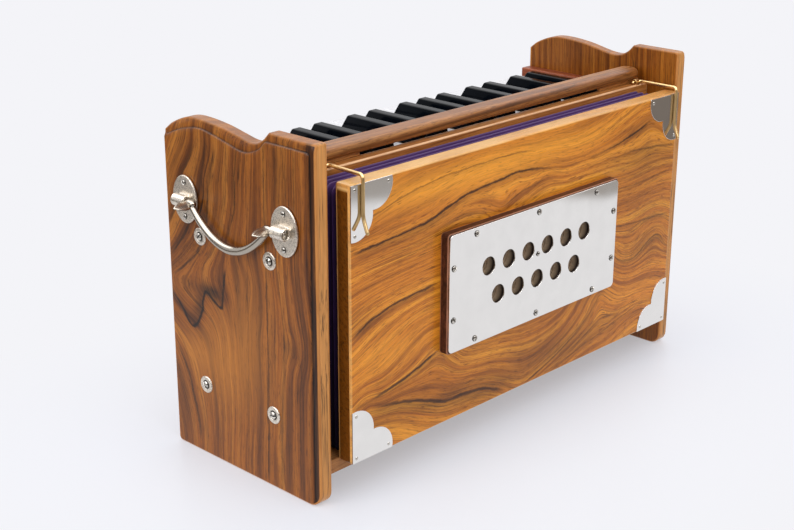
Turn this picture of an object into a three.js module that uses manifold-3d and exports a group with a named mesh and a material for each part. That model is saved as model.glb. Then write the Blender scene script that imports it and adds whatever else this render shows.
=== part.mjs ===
// A small hand-pumped Indian harmonium. Two scrolled cheeks stand at the ends of the case, the keyboard
// lies between them on the player's side, and a hinged board works the bellows on the far side.
// Millimetres, +Z up. The player sits at -Y, the bellows are at +Y and the treble end is at +X.

import * as THREE from 'three';
import { mergeVertices } from 'three/addons/utils/BufferGeometryUtils.js';
import Module from 'manifold-3d';

const wasm = await Module();
wasm.setup();

// Clearances and small working lengths
const mergeDistance = 1e-4; // vertices closer than this are one
const seat = 0.3; // between two pieces that sit against each other
const running = 0.35; // round a pin or rod that turns or slides
const overrun = 2; // how far a cutter runs past what it cuts
const weld = 0.4; // how far two lumps of one piece run into each other

// Keyboard
const key = {
  whites: 19,
  pitch: 22,
  gap: 0.7, // between neighbours, side by side
  frontGap: 1.2, // from a white key's head to the black key's front
  thickness: 12,
  headLength: 21.5,
  blackWidth: 12,
  blackTopWidth: 9.4,
  blackRise: 11.5,
  blackSlope: 6.7,
  blackSetback: 3, // from the end of a black key's raised part to the rail
  frontInset: 0.25, // behind the cheeks' front edges
  tailClearance: 3, // from a key's tail to the back frame
  bodyLift: 13.5, // under the keys, over the reed board
  headroom: 5, // over the black keys, under the rail
  sideClearance: 0.5, // from the outer keys to the end blocks
};
// White keys are named from G upwards. The shift of the black key that follows each white one is a
// share of the pitch, and null stands where no black key follows.
const octaveShares = [
  { white: 'g', blackShare: 0 },
  { white: 'a', blackShare: 0.14 },
  { white: 'b', blackShare: null },
  { white: 'c', blackShare: -0.1 },
  { white: 'd', blackShare: 0.08 },
  { white: 'e', blackShare: null },
  { white: 'f', blackShare: -0.14 },
];
const pallet = { length: 17, endInset: 1, holeWidth: 6.4, holeMargin: 2.6 };
// The pin's setback is from the pallets' fronts, its rise over the keys' undersides, and its relief
// from them down to the balance rail
const pin = { radius: 1.5, railWidth: 8, setback: 21.5, rise: 1, relief: 0.9, neckWidth: 1.6 };

// Case
const cheek = {
  thickness: 14,
  depth: 174.5,
  rise: 32, // over the back frame
  footRadius: 11,
  frontRadius: 4,
  mouldWidth: 8.5,
  mouldDepth: 2,
};
// The scroll along a cheek's top, from the player's edge to the flat: shares of the depth and of the rise
const scrollShares = [
  [0, 0.41],
  [0.059, 0.64],
  [0.156, 0.845],
  [0.248, 0.884],
  [0.385, 0.825],
  [0.489, 0.725],
  [0.5745, 0.647],
  [0.632, 0.675],
  [0.678, 0.81],
  [0.712, 1],
];
const endBlock = { width: 12.2, rise: 8 };
const base = { lift: 22, thickness: 12, backInset: 4.75 };
const frontPanel = { thickness: 10, inset: 2 };
const slip = { depth: 17, thickness: 3.5 };
const backFrame = { thickness: 12, backInset: 31.25, portWidth: 44, portHeight: 12 };
const rail = {
  width: 20.5,
  thickness: 10.5,
  setback: 5.5,
  slotHeight: 3,
  footLength: 61,
  endGap: 3,
  rounding: 3.2,
};

// Reeds and wind
const reedBoard = { top: 220, thickness: 8 };
const reedPlate = { thickness: 2, margin: 3, slotClearance: 0.6, tongueThickness: 0.5, tongueWidth: 4 };
const reedLength = { bass: 30, treble: 15 };
const chamber = { height: 44, floorThickness: 8, slotLength: 44, slotWidth: 14, slotOffset: 110 };
const stop = {
  endLap: 6, // past the ends of its wind slot
  sideLap: 4, // past the sides of its wind slot
  plateThickness: 4,
  rodRadius: 3,
  knobRadius: 9,
  knobLength: 17,
  neckRadius: 5,
};
const reservoir = {
  foldHeight: 18,
  boardThickness: 8,
  sideGap: 14,
  frontGap: 5,
  railDepth: 14,
  foldDepth: 7,
  folds: 2,
  wall: 14,
};
const springWire = { radius: 1.6, coilRadius: 9, turns: 2, legInset: 12 };
const keySpring = {
  stripThickness: 1.6,
  stripHeight: 6,
  stripRise: 6,
  wireWidth: 1.6,
  wireThickness: 1,
  reach: 11,
};

// Bellows
const bellows = { depth: 26.75, foldDepth: 9, wall: 20, folds: 4, topDrop: 6, edgeInset: 2.5 };
const pumpBoard = { thickness: 15, sideGap: 11.2, topDrop: 0.5, lap: 1.3 };
const airBlock = { thickness: 8, width: 223, height: 102, rise: 2 };
const airPlate = {
  thickness: 1.2,
  cornerRadius: 4,
  holeRadius: 7.9,
  holePitch: 25.3,
  rowGap: 27.2,
  margin: 1,
};
const airRows = [
  { count: 6, side: 1 },
  { count: 5, side: -1 },
];
const plateScrew = { radius: 2.8, height: 1, inset: 5, side: 79, rise: 22 };
const flap = { thickness: 1.4, margin: 6 };
const cornerPlate = {
  lobeRadius: 19,
  lobeShift: 4.5,
  lobeReach: 25.5,
  thickness: 0.8,
  pinRadius: 1.5,
  pinHeight: 0.6,
};

// Wire catches that hold the bellows shut
const wireCatch = {
  radius: 1.5,
  pivotInset: 3.5, // from the back frame's rear face to the pivot
  pinOverhang: 1.5, // past the strap
  slant: 12.5,
  drop: 30,
  flareDrop: 15,
  flareReach: 6,
  standoff: 1.4,
  bendRadius: 4,
  sideInset: 9.8, // from the pump board's side edge
  strapWidth: 5,
  strapWall: 1.2,
};

// Drop handles on the cheeks
const rose = {
  height: 39.5,
  width: 29.5,
  thickness: 2.2,
  frontInset: 26.35, // from the cheek's front edge to the middle of the front rose
  backInset: 31.15,
  bossRadius: 5,
  bossLength: 14,
  screwOffset: 14,
};
const roseScrew = { radius: 2.6, height: 1.2 };
const bail = { radius: 3.3, pinRadius: 2.3, drop: 27, endInset: 5, standoff: 6.3, fromTop: 71 };
const bailTab = { reach: 16.5, width: 9, thickness: 2.6 };
const cupWasher = { radius: 7.2, height: 1.6, headRadius: 4, headHeight: 1.8 };
const cupPlaces = { upperDrop: 28, lowerHeight: 64, frontInset: 41.15, backInset: 50.35 };

const facets = { rod: 10, small: 8, hole: 12, knob: 14 };

// Levels and faces that several pieces share
const keysHalf = (key.whites * key.pitch) / 2;
const innerHalf = keysHalf + key.sideClearance + endBlock.width + seat;
const outerHalf = innerHalf + cheek.thickness;
const cheekFront = -cheek.depth / 2;
const cheekBack = cheek.depth / 2;
const keyBottom = reedBoard.top + key.bodyLift;
const whiteTop = keyBottom + key.thickness;
const blackTop = whiteTop + key.blackRise;
const railBottom = blackTop + key.headroom;
const ledge = railBottom - rail.slotHeight;
const cheekTop = ledge + cheek.rise;
const frameBack = cheekBack - backFrame.backInset;
const frameFront = frameBack - backFrame.thickness;
const panelFront = cheekFront + frontPanel.inset;
const panelBack = panelFront + frontPanel.thickness;
const baseTop = base.lift + base.thickness;
const railBack = frameBack - rail.setback;
const railFront = railBack - rail.width;
const keyFront = cheekFront + key.frontInset;
const shoulder = keyFront + key.headLength;
const tailEnd = frameFront - key.tailClearance;
const blackEnd = railFront - key.blackSetback;
const palletEnd = tailEnd - pallet.endInset;
const palletFront = palletEnd - pallet.length;
const balance = { y: palletFront - pin.setback, z: keyBottom + pin.rise };
const boardBack = frameBack + bellows.depth;
const boardFace = boardBack + pumpBoard.thickness;
const boardHalf = innerHalf - pumpBoard.sideGap;
const boardTop = ledge - pumpBoard.topDrop;
const boardBottom = baseTop - pumpBoard.lap;
const blockFace = boardFace + airBlock.thickness;
const plateFace = blockFace + airPlate.thickness;
const airCentre = (boardTop + boardBottom) / 2 + airBlock.rise;
const chamberTop = reedBoard.top - reedBoard.thickness;
const chamberFloor = chamberTop - chamber.height;
const reservoirTop = chamberFloor - chamber.floorThickness;
const reservoirBottom = reservoirTop - reservoir.foldHeight;
const slotMiddle = (panelBack + frameFront) / 2;
const stopHeight = chamberFloor + seat + stop.plateThickness + stop.rodRadius - weld;
const strapStart = wireCatch.bendRadius + running; // from the wire's rear corner
const railHalf = innerHalf - rail.endGap;
const catchFront = boardHalf - wireCatch.sideInset;
const catchPivot = { y: frameBack - wireCatch.pivotInset, z: ledge + seat + wireCatch.radius };
const roseFront = cheekFront + rose.frontInset;
const roseBack = cheekBack - rose.backInset;
const bailAxis = { x: outerHalf + bail.standoff, y: (roseFront + roseBack) / 2, z: cheekTop - bail.fromTop };
const catchFace = boardFace + cornerPlate.thickness + wireCatch.standoff;
const catchTip = catchFace + wireCatch.flareReach + 2 * wireCatch.radius;
const knobTip = panelFront - stop.knobLength - 2 * seat;

// Solids from three.js geometry, and back again
function solidOf(geometry) {
  const bare = geometry.clone();
  for (const name of Object.keys(bare.attributes)) {
    if (name !== 'position') bare.deleteAttribute(name);
  }
  const merged = mergeVertices(bare, mergeDistance);
  return new wasm.Manifold(
    new wasm.Mesh({
      numProp: 3,
      vertProperties: new Float32Array(merged.attributes.position.array),
      triVerts: new Uint32Array(merged.index.array),
    }),
  );
}

function geometryOf(solid) {
  const mesh = solid.getMesh();
  const geometry = new THREE.BufferGeometry();
  const positions = new Float32Array(mesh.vertProperties);
  geometry.setAttribute('position', new THREE.BufferAttribute(positions, mesh.numProp));
  geometry.setIndex(new THREE.BufferAttribute(new Uint32Array(mesh.triVerts), 1));
  geometry.computeVertexNormals();
  return geometry;
}

function join(solids) {
  return solids.reduce((whole, next) => whole.add(next));
}

function cut(solid, tools) {
  return tools.reduce((rest, tool) => rest.subtract(tool), solid);
}

function box(x0, x1, y0, y1, z0, z1) {
  const geometry = new THREE.BoxGeometry(x1 - x0, y1 - y0, z1 - z0);
  geometry.translate((x0 + x1) / 2, (y0 + y1) / 2, (z0 + z1) / 2);
  return solidOf(geometry);
}

// A prism from an outline: along X the outline is in (y, z), along Y in (x, z), along Z in (x, y)
const planes = {
  x: { axes: [[0, 1, 0], [0, 0, 1], [1, 0, 0]], sign: 1 },
  y: { axes: [[1, 0, 0], [0, 0, 1], [0, -1, 0]], sign: -1 },
  z: { axes: [[1, 0, 0], [0, 1, 0], [0, 0, 1]], sign: 1 },
};

function prism(axis, outline, low, high, curveSegments = 6) {
  const given = outline instanceof THREE.Shape;
  const shape = given ? outline : new THREE.Shape(outline.map(([a, b]) => new THREE.Vector2(a, b)));
  const options = { depth: high - low, bevelEnabled: false, curveSegments };
  const geometry = new THREE.ExtrudeGeometry(shape, options);
  const plane = planes[axis];
  const [across, up, along] = plane.axes.map((values) => new THREE.Vector3(...values));
  geometry.applyMatrix4(new THREE.Matrix4().makeBasis(across, up, along));
  const start = plane.sign > 0 ? low : high;
  geometry.translate(...along.clone().multiplyScalar(start * plane.sign).toArray());
  return solidOf(geometry);
}

// A round bar along an axis, from low to high, with its centre at the two other coordinates
function bar(axis, radius, low, high, [first, second], sides = facets.rod) {
  const geometry = new THREE.CylinderGeometry(radius, radius, high - low, sides);
  const middle = (low + high) / 2;
  if (axis === 'x') geometry.rotateZ(Math.PI / 2).translate(middle, first, second);
  if (axis === 'y') geometry.translate(first, middle, second);
  if (axis === 'z') geometry.rotateX(Math.PI / 2).translate(first, second, middle);
  return solidOf(geometry);
}

// A turned piece whose profile is in (radius, height), standing along an axis from a foot point
function turned(profile, axis, foot, sides) {
  const geometry = new THREE.LatheGeometry(profile.map(([r, h]) => new THREE.Vector2(r, h)), sides);
  const up = new THREE.Vector3(...axis);
  geometry.applyQuaternion(new THREE.Quaternion().setFromUnitVectors(new THREE.Vector3(0, 1, 0), up));
  geometry.translate(...foot);
  return solidOf(geometry);
}

// A round-headed fastener on a face
function screwHead(radius, height, axis, foot) {
  const shoulderShare = 0.75;
  const profile = [
    [0, -weld],
    [radius, -weld],
    [radius, height / 3],
    [radius * shoulderShare, height],
    [0, height],
  ];
  return turned(profile, axis, foot, facets.small);
}

function circle(radius, sides) {
  const points = [];
  for (let i = 0; i < sides; i += 1) {
    const angle = (i / sides) * 2 * Math.PI;
    points.push(new THREE.Vector2(radius * Math.cos(angle), radius * Math.sin(angle)));
  }
  return new THREE.Shape(points);
}

function tube(points, radius, steps, sides = facets.small) {
  const extrudePath = new THREE.CatmullRomCurve3(points, false, 'centripetal');
  const options = { extrudePath, steps, bevelEnabled: false };
  return solidOf(new THREE.ExtrudeGeometry(circle(radius, sides), options));
}

// A straight-sided wire through corner points, with each corner rounded by a few points
function bentWire(corners, bendRadius, radius) {
  const points = [corners[0]];
  for (let i = 1; i < corners.length - 1; i += 1) {
    const before = corners[i - 1].clone().sub(corners[i]);
    const after = corners[i + 1].clone().sub(corners[i]);
    const reach = Math.min(bendRadius, before.length() / 2, after.length() / 2);
    const start = corners[i].clone().add(before.setLength(reach));
    const end = corners[i].clone().add(after.setLength(reach));
    points.push(...new THREE.QuadraticBezierCurve3(start, corners[i], end).getPoints(4));
  }
  points.push(corners[corners.length - 1]);
  const path = new THREE.CatmullRomCurve3(points, false, 'centripetal');
  return tube(points, radius, Math.round((2 * path.getLength()) / bendRadius));
}

// A block whose top is smaller than its foot: eight corners
function taperedBlock(foot, top, z0, z1) {
  const corners = [
    [foot.x0, foot.y0, z0],
    [foot.x1, foot.y0, z0],
    [foot.x1, foot.y1, z0],
    [foot.x0, foot.y1, z0],
    [top.x0, top.y0, z1],
    [top.x1, top.y0, z1],
    [top.x1, top.y1, z1],
    [top.x0, top.y1, z1],
  ];
  const faces = [
    [0, 3, 2, 1],
    [4, 5, 6, 7],
    [0, 1, 5, 4],
    [1, 2, 6, 5],
    [2, 3, 7, 6],
    [3, 0, 4, 7],
  ];
  const geometry = new THREE.BufferGeometry();
  geometry.setAttribute('position', new THREE.Float32BufferAttribute(corners.flat(), 3));
  geometry.setIndex(faces.flatMap(([a, b, c, d]) => [a, b, c, a, c, d]));
  return solidOf(geometry);
}

// A folded cloth wall round a rectangle. Its section is a closed loop of (inset, height) pairs and
// place(u, v, height) puts a corner of the rectangle into space.
function foldedRing(section, halfU, halfV, place) {
  const corners = [
    [-1, -1],
    [1, -1],
    [1, 1],
    [-1, 1],
  ];
  const positions = [];
  for (const [inset, height] of section) {
    for (const [u, v] of corners) {
      positions.push(...place(u * (halfU - inset), v * (halfV - inset), height));
    }
  }
  const index = [];
  for (let i = 0; i < section.length; i += 1) {
    const next = (i + 1) % section.length;
    for (let c = 0; c < corners.length; c += 1) {
      const d = (c + 1) % corners.length;
      const [a, b, e, f] = [i * 4 + c, i * 4 + d, next * 4 + d, next * 4 + c];
      index.push(a, b, e, a, e, f);
    }
  }
  const geometry = new THREE.BufferGeometry();
  geometry.setAttribute('position', new THREE.Float32BufferAttribute(positions, 3));
  geometry.setIndex(index);
  return solidOf(geometry);
}

// The outer side of a cloth wall goes in and out once for each fold
function foldSection(folds, depth, wall, low, high) {
  const section = [];
  for (let i = 0; i <= 2 * folds; i += 1) {
    section.push([i % 2 === 0 ? 0 : depth, low + ((high - low) * i) / (2 * folds)]);
  }
  section.push([wall, high], [wall, low]);
  return section;
}

// Materials
const paints = {
  cheekWood: ['#8f5930', 0.45, 0],
  boardWood: ['#c17c33', 0.4, 0],
  caseWood: ['#a06a3a', 0.55, 0],
  railWood: ['#8a6040', 0.5, 0],
  blockWood: ['#8c4a2c', 0.5, 0],
  whiteKey: ['#f0f0f2', 0.3, 0],
  blackKey: ['#1b2023', 0.3, 0],
  nickel: ['#c9c3bb', 0.3, 1],
  polished: ['#d8d6d4', 0.12, 1],
  brass: ['#d6a468', 0.3, 1],
  steel: ['#a8a8a8', 0.35, 1],
  leather: ['#8d8478', 0.85, 0],
  cloth: ['#4b2e7a', 0.9, 0],
  knob: ['#2a1c14', 0.35, 0],
};

const harmonium = new THREE.Group();
harmonium.name = 'harmonium';

function add(name, solid, paint) {
  const [color, roughness, metalness] = paints[paint];
  const material = new THREE.MeshStandardMaterial({ color, roughness, metalness });
  const mesh = new THREE.Mesh(geometryOf(solid), material);
  mesh.name = name;
  harmonium.add(mesh);
}

// Cheeks, with the raised field that the routed moulding leaves along the top and the bellows edge
function cheekOutline(inset) {
  const back = cheekBack - inset;
  const shape = new THREE.Shape();
  shape.moveTo(cheekFront + cheek.frontRadius, 0);
  shape.lineTo(back - cheek.footRadius, 0);
  shape.quadraticCurveTo(back, 0, back, cheek.footRadius);
  shape.lineTo(back, cheekTop - inset);
  const scroll = scrollShares.map(
    ([y, z]) => new THREE.Vector2(cheekFront + y * cheek.depth, ledge + z * cheek.rise - inset),
  );
  scroll.reverse();
  shape.lineTo(scroll[0].x, scroll[0].y);
  shape.splineThru(scroll.slice(1));
  shape.lineTo(cheekFront, cheek.frontRadius);
  shape.quadraticCurveTo(cheekFront, 0, cheekFront + cheek.frontRadius, 0);
  return shape;
}

function cupScrews(side) {
  const places = [];
  for (const z of [bailAxis.z - cupPlaces.upperDrop, cupPlaces.lowerHeight]) {
    for (const y of [cheekFront + cupPlaces.frontInset, cheekBack - cupPlaces.backInset]) {
      places.push([side * outerHalf, y, z]);
    }
  }
  const profile = [
    [0, -weld],
    [cupWasher.radius, -weld],
    [cupWasher.radius, cupWasher.height / 3],
    [cupWasher.headRadius, cupWasher.height],
    [cupWasher.headRadius * 0.7, cupWasher.height + cupWasher.headHeight * 0.8],
    [0, cupWasher.height + cupWasher.headHeight],
  ];
  return places.map((foot) => turned(profile, [side, 0, 0], foot, facets.rod));
}

function makeCheek(side) {
  const slabEdge = outerHalf - cheek.mouldDepth;
  const span = (a, b) => (side > 0 ? [a, b] : [-b, -a]);
  const slab = prism('x', cheekOutline(0), ...span(innerHalf, slabEdge), 3);
  const field = prism('x', cheekOutline(cheek.mouldWidth), ...span(slabEdge - weld, outerHalf), 3);
  return join([slab, field, ...cupScrews(side)]);
}

add('cheek_treble', makeCheek(1), 'cheekWood');
add('cheek_bass', makeCheek(-1), 'cheekWood');

// Case boards between the cheeks
const caseHalf = innerHalf - seat;
const baseBack = cheekBack - base.backInset;
add(
  'base_board',
  box(-caseHalf, caseHalf, panelFront, baseBack, base.lift, baseTop),
  'caseWood',
);

function makeFrontPanel() {
  const panel = box(-caseHalf, caseHalf, panelFront, panelBack, baseTop + seat, reedBoard.top);
  const holes = [-1, 1].map((side) =>
    bar(
      'y',
      stop.rodRadius + running,
      panelFront - overrun,
      panelBack + overrun,
      [side * chamber.slotOffset, stopHeight],
      facets.hole,
    ),
  );
  return cut(panel, holes);
}

add('front_panel', makeFrontPanel(), 'caseWood');

// End blocks beside the keys, held together by the slip under the key fronts
function makeKeyFrame() {
  const low = reedBoard.top + seat;
  const blockInner = caseHalf - endBlock.width;
  const blocks = [
    [blockInner, caseHalf],
    [-caseHalf, -blockInner],
  ].map(([x0, x1]) => box(x0, x1, keyFront, frameFront - seat, low, whiteTop + endBlock.rise));
  const slipBox = box(-caseHalf, caseHalf, panelFront, panelFront + slip.depth, low, low + slip.thickness);
  return join([...blocks, slipBox]);
}

add('key_frame', makeKeyFrame(), 'blockWood');

// The rail behind the keys rests on the back frame at its two ends and leaves a long slot between
function makeRail() {
  const top = railBottom + rail.thickness;
  const r = rail.rounding;
  const section = [
    [railFront, railBottom],
    [railBack - r, railBottom],
    [railBack, railBottom + r],
    [railBack, top - r],
    [railBack - r, top],
    [railFront + r, top],
    [railFront, top - r],
  ];
  const footInner = railHalf - rail.footLength;
  const feet = [
    [footInner, railHalf],
    [-railHalf, -footInner],
  ].map(([x0, x1]) => box(x0, x1, frameFront, railBack - r, ledge + seat, railBottom + weld));
  return join([prism('x', section, -railHalf, railHalf), ...feet]);
}

add('key_rail', makeRail(), 'railWood');

// The fixed back frame carries the bellows, the wind port and the straps over the catches' pins
function catchFoot(side) {
  return side * catchFront - wireCatch.slant;
}

function makeStrap(side) {
  const start = catchFoot(side) + strapStart;
  const end = start + wireCatch.strapWidth;
  const bore = wireCatch.radius + running;
  const outer = bore + wireCatch.strapWall;
  const { y, z } = catchPivot;
  const lump = join([
    box(start, end, y - outer, y + outer, ledge - weld, z),
    bar('x', outer, start, end, [y, z], facets.hole),
  ]);
  return cut(lump, [
    bar('x', bore, start - overrun, end + overrun, [y, z], facets.hole),
    box(start - overrun, end + overrun, y - bore, y + bore, ledge, z),
  ]);
}

function makeBackFrame() {
  const wall = box(-caseHalf, caseHalf, frameFront, frameBack, baseTop + seat, ledge);
  const portHalf = backFrame.portWidth / 2;
  const portMiddle = (reservoirTop + reservoirBottom) / 2;
  const port = box(
    -portHalf,
    portHalf,
    frameFront - overrun,
    frameBack + overrun,
    portMiddle - backFrame.portHeight / 2,
    portMiddle + backFrame.portHeight / 2,
  );
  return join([cut(wall, [port]), makeStrap(1), makeStrap(-1)]);
}

add('back_frame', makeBackFrame(), 'boardWood');

// Where every key stands
function keyLayout() {
  const start = -keysHalf;
  const whites = [];
  const blacks = [];
  for (let i = 0; i < key.whites; i += 1) {
    const note = octaveShares[i % octaveShares.length];
    const x0 = start + i * key.pitch + key.gap / 2;
    whites.push({ note: note.white, x0, x1: x0 + key.pitch - key.gap });
    const last = i === key.whites - 1;
    if (note.blackShare !== null && !last) {
      blacks.push({ note: note.white, after: i, x: start + (i + 1 + note.blackShare) * key.pitch });
    }
  }
  const half = key.blackWidth / 2 + key.gap;
  for (const white of whites) {
    white.tail0 = white.x0;
    white.tail1 = white.x1;
  }
  for (const black of blacks) {
    const [left, right] = [whites[black.after], whites[black.after + 1]];
    left.tail1 = Math.min(left.tail1, black.x - half);
    right.tail0 = Math.max(right.tail0, black.x + half);
  }
  return { whites, blacks };
}

const layout = keyLayout();
const tails = [
  ...layout.whites.map((white) => (white.tail0 + white.tail1) / 2),
  ...layout.blacks.map((black) => black.x),
].sort((a, b) => a - b);

// The lever of a key, seen from the side: a notch rides on the balance pin and the pallet hangs behind
function leverOutline(front) {
  const notch = pin.radius + running;
  const points = [[front, keyBottom]];
  points.push([balance.y - notch, keyBottom]);
  const steps = 6;
  for (let i = 0; i <= steps; i += 1) {
    const angle = Math.PI - (i / steps) * Math.PI;
    points.push([balance.y + notch * Math.cos(angle), balance.z + notch * Math.sin(angle)]);
  }
  points.push([balance.y + notch, keyBottom]);
  const palletBottom = reedBoard.top + seat;
  points.push([palletFront, keyBottom], [palletFront, palletBottom]);
  points.push([palletEnd, palletBottom], [palletEnd, keyBottom]);
  points.push([tailEnd, keyBottom], [tailEnd, whiteTop], [front, whiteTop]);
  return points.filter(([y, z], i) => i === 0 || y !== points[i - 1][0] || z !== points[i - 1][1]);
}

function makeWhiteKey(white) {
  const head = box(white.x0, white.x1, keyFront, shoulder - key.frontGap, keyBottom, whiteTop);
  const lever = prism('x', leverOutline(shoulder - key.frontGap - weld), white.tail0, white.tail1);
  return join([head, lever]);
}

function makeBlackKey(black) {
  const half = key.blackWidth / 2;
  const topHalf = key.blackTopWidth / 2;
  const lever = prism('x', leverOutline(shoulder), black.x - half, black.x + half);
  const foot = { x0: black.x - half, x1: black.x + half, y0: shoulder, y1: blackEnd };
  const top = { x0: black.x - topHalf, x1: black.x + topHalf, y0: shoulder + key.blackSlope, y1: blackEnd };
  return join([lever, taperedBlock(foot, top, whiteTop, blackTop)]);
}

const twoDigits = (n) => String(n + 1).padStart(2, '0');
layout.whites.forEach((white, i) => add(`white_key_${twoDigits(i)}`, makeWhiteKey(white), 'whiteKey'));
layout.blacks.forEach((black, i) => add(`black_key_${twoDigits(i)}`, makeBlackKey(black), 'blackKey'));

// The reed board, with a pallet hole under each key, the balance rail and the keys' common pin
function makeReedBoard() {
  const board = box(-caseHalf, caseHalf, panelBack + seat, frameFront - seat, chamberTop, reedBoard.top);
  const holes = tails.map((x) =>
    box(
      x - pallet.holeWidth / 2,
      x + pallet.holeWidth / 2,
      palletFront + pallet.holeMargin,
      palletEnd - pallet.holeMargin,
      chamberTop - overrun,
      reedBoard.top + overrun,
    ),
  );
  const upright = (width, low, high) =>
    box(-keysHalf, keysHalf, balance.y - width / 2, balance.y + width / 2, low, high);
  const railTop = keyBottom - pin.relief;
  return join([
    cut(board, holes),
    upright(pin.railWidth, reedBoard.top - weld, railTop),
    upright(pin.neckWidth, railTop - weld, balance.z),
    bar('x', pin.radius, -keysHalf, keysHalf, [balance.y, balance.z]),
  ]);
}

add('reed_board', makeReedBoard(), 'caseWood');

// One brass reed for each key: a tongue fixed at one end over its slot, longer towards the bass
function makeReedPlate() {
  const top = chamberTop - seat;
  const low = top - reedPlate.thickness;
  const front = palletEnd - reedLength.bass - 2 * reedPlate.margin;
  const plate = box(-keysHalf, keysHalf, front, palletEnd, low, top);
  const slots = [];
  const tongues = [];
  tails.forEach((x, i) => {
    const share = i / (tails.length - 1);
    const length = reedLength.bass + (reedLength.treble - reedLength.bass) * share;
    const end = palletEnd - reedPlate.margin;
    const slotHalf = reedPlate.tongueWidth / 2 + reedPlate.slotClearance;
    slots.push(box(x - slotHalf, x + slotHalf, end - length, end, low - overrun, top + overrun));
    const root = end - length - reedPlate.margin;
    const tip = end - reedPlate.slotClearance;
    const rootEnd = root + reedPlate.margin - weld;
    const [x0, x1] = [x - reedPlate.tongueWidth / 2, x + reedPlate.tongueWidth / 2];
    tongues.push(box(x0, x1, root, tip, low - reedPlate.tongueThickness, low));
    tongues.push(box(x0, x1, root, rootEnd, low - weld, low + weld));
  });
  return join([cut(plate, slots), ...tongues]);
}

add('reed_plate', makeReedPlate(), 'brass');

// The comb of springs that presses every key's tail down
function makeKeySprings() {
  const back = frameFront - seat;
  const front = back - keySpring.stripThickness;
  const low = whiteTop + keySpring.stripRise;
  const strip = box(-keysHalf, keysHalf, front, back, low, low + keySpring.stripHeight);
  const foot = front - keySpring.reach;
  const section = [
    [front + weld, low],
    [front + weld, low + keySpring.wireThickness],
    [foot, whiteTop + seat + keySpring.wireThickness],
    [foot, whiteTop + seat],
  ];
  const halfWire = keySpring.wireWidth / 2;
  const wires = tails.map((x) => prism('x', section, x - halfWire, x + halfWire));
  return join([strip, ...wires]);
}

add('key_springs', makeKeySprings(), 'brass');

// Floor of the reed chamber, with two wind slots and the rail that the reservoir hangs from
function makeChamberFloor() {
  const back = frameFront - seat;
  const floor = box(-caseHalf, caseHalf, panelBack + seat, back, reservoirTop, chamberFloor);
  const railStart = back - reservoir.railDepth;
  const hingeRail = box(-caseHalf, caseHalf, railStart, back, reservoirBottom, reservoirTop + weld);
  const slots = [-1, 1].map((side) => {
    const middle = side * chamber.slotOffset;
    return box(
      middle - chamber.slotLength / 2,
      middle + chamber.slotLength / 2,
      slotMiddle - chamber.slotWidth / 2,
      slotMiddle + chamber.slotWidth / 2,
      reservoirTop - overrun,
      chamberFloor + overrun,
    );
  });
  const portMiddle = (reservoirTop + reservoirBottom) / 2;
  const duct = box(
    -backFrame.portWidth / 2,
    backFrame.portWidth / 2,
    railStart - overrun,
    back + overrun,
    portMiddle - backFrame.portHeight / 2,
    portMiddle + backFrame.portHeight / 2,
  );
  return cut(join([floor, hingeRail]), [...slots, duct]);
}

add('chamber_floor', makeChamberFloor(), 'caseWood');

// Stops: a knob on the front, its rod, and the plate that slides off a wind slot
function makeStop(side) {
  const x = side * chamber.slotOffset;
  const plateLow = chamberFloor + seat;
  const halfLength = chamber.slotLength / 2 + stop.endLap;
  const halfDepth = chamber.slotWidth / 2 + stop.sideLap;
  const plate = box(
    x - halfLength,
    x + halfLength,
    slotMiddle - halfDepth,
    slotMiddle + halfDepth,
    plateLow,
    plateLow + stop.plateThickness,
  );
  const knobFoot = panelFront - 2 * seat;
  const rod = bar('y', stop.rodRadius, knobFoot - weld, slotMiddle, [x, stopHeight]);
  const profile = [
    [0, 0],
    [stop.neckRadius, 0],
    [stop.neckRadius, stop.knobLength * 0.35],
    [stop.knobRadius, stop.knobLength * 0.55],
    [stop.knobRadius, stop.knobLength * 0.85],
    [stop.neckRadius, stop.knobLength],
    [0, stop.knobLength],
  ];
  return join([plate, rod, turned(profile, [0, -1, 0], [x, knobFoot, stopHeight], facets.knob)]);
}

add('stop_treble', makeStop(1), 'knob');
add('stop_bass', makeStop(-1), 'knob');

// Reservoir: a board hung from the hinge rail, cloth round it and a spring under it
const reservoirBack = frameFront - 2 * seat - reservoir.railDepth;
const reservoirFront = panelBack + reservoir.frontGap;
const reservoirHalf = innerHalf - reservoir.sideGap;
add(
  'reservoir_board',
  box(
    -reservoirHalf,
    reservoirHalf,
    reservoirFront,
    reservoirBack,
    reservoirBottom - reservoir.boardThickness,
    reservoirBottom,
  ),
  'caseWood',
);

function makeReservoirCloth() {
  const halfV = (reservoirBack - reservoirFront) / 2;
  const middle = (reservoirBack + reservoirFront) / 2;
  const [low, high] = [reservoirBottom + seat, reservoirTop - seat];
  const section = foldSection(reservoir.folds, reservoir.foldDepth, reservoir.wall, low, high);
  const ring = foldedRing(section, reservoirHalf, halfV, (u, v, height) => [u, middle + v, height]);
  const inside = reservoirHalf - reservoir.wall;
  const back = box(
    -inside,
    inside,
    middle,
    reservoirBack + overrun,
    reservoirBottom - overrun,
    reservoirTop + overrun,
  );
  return cut(ring, [back]);
}

add('reservoir_cloth', makeReservoirCloth(), 'cloth');

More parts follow.
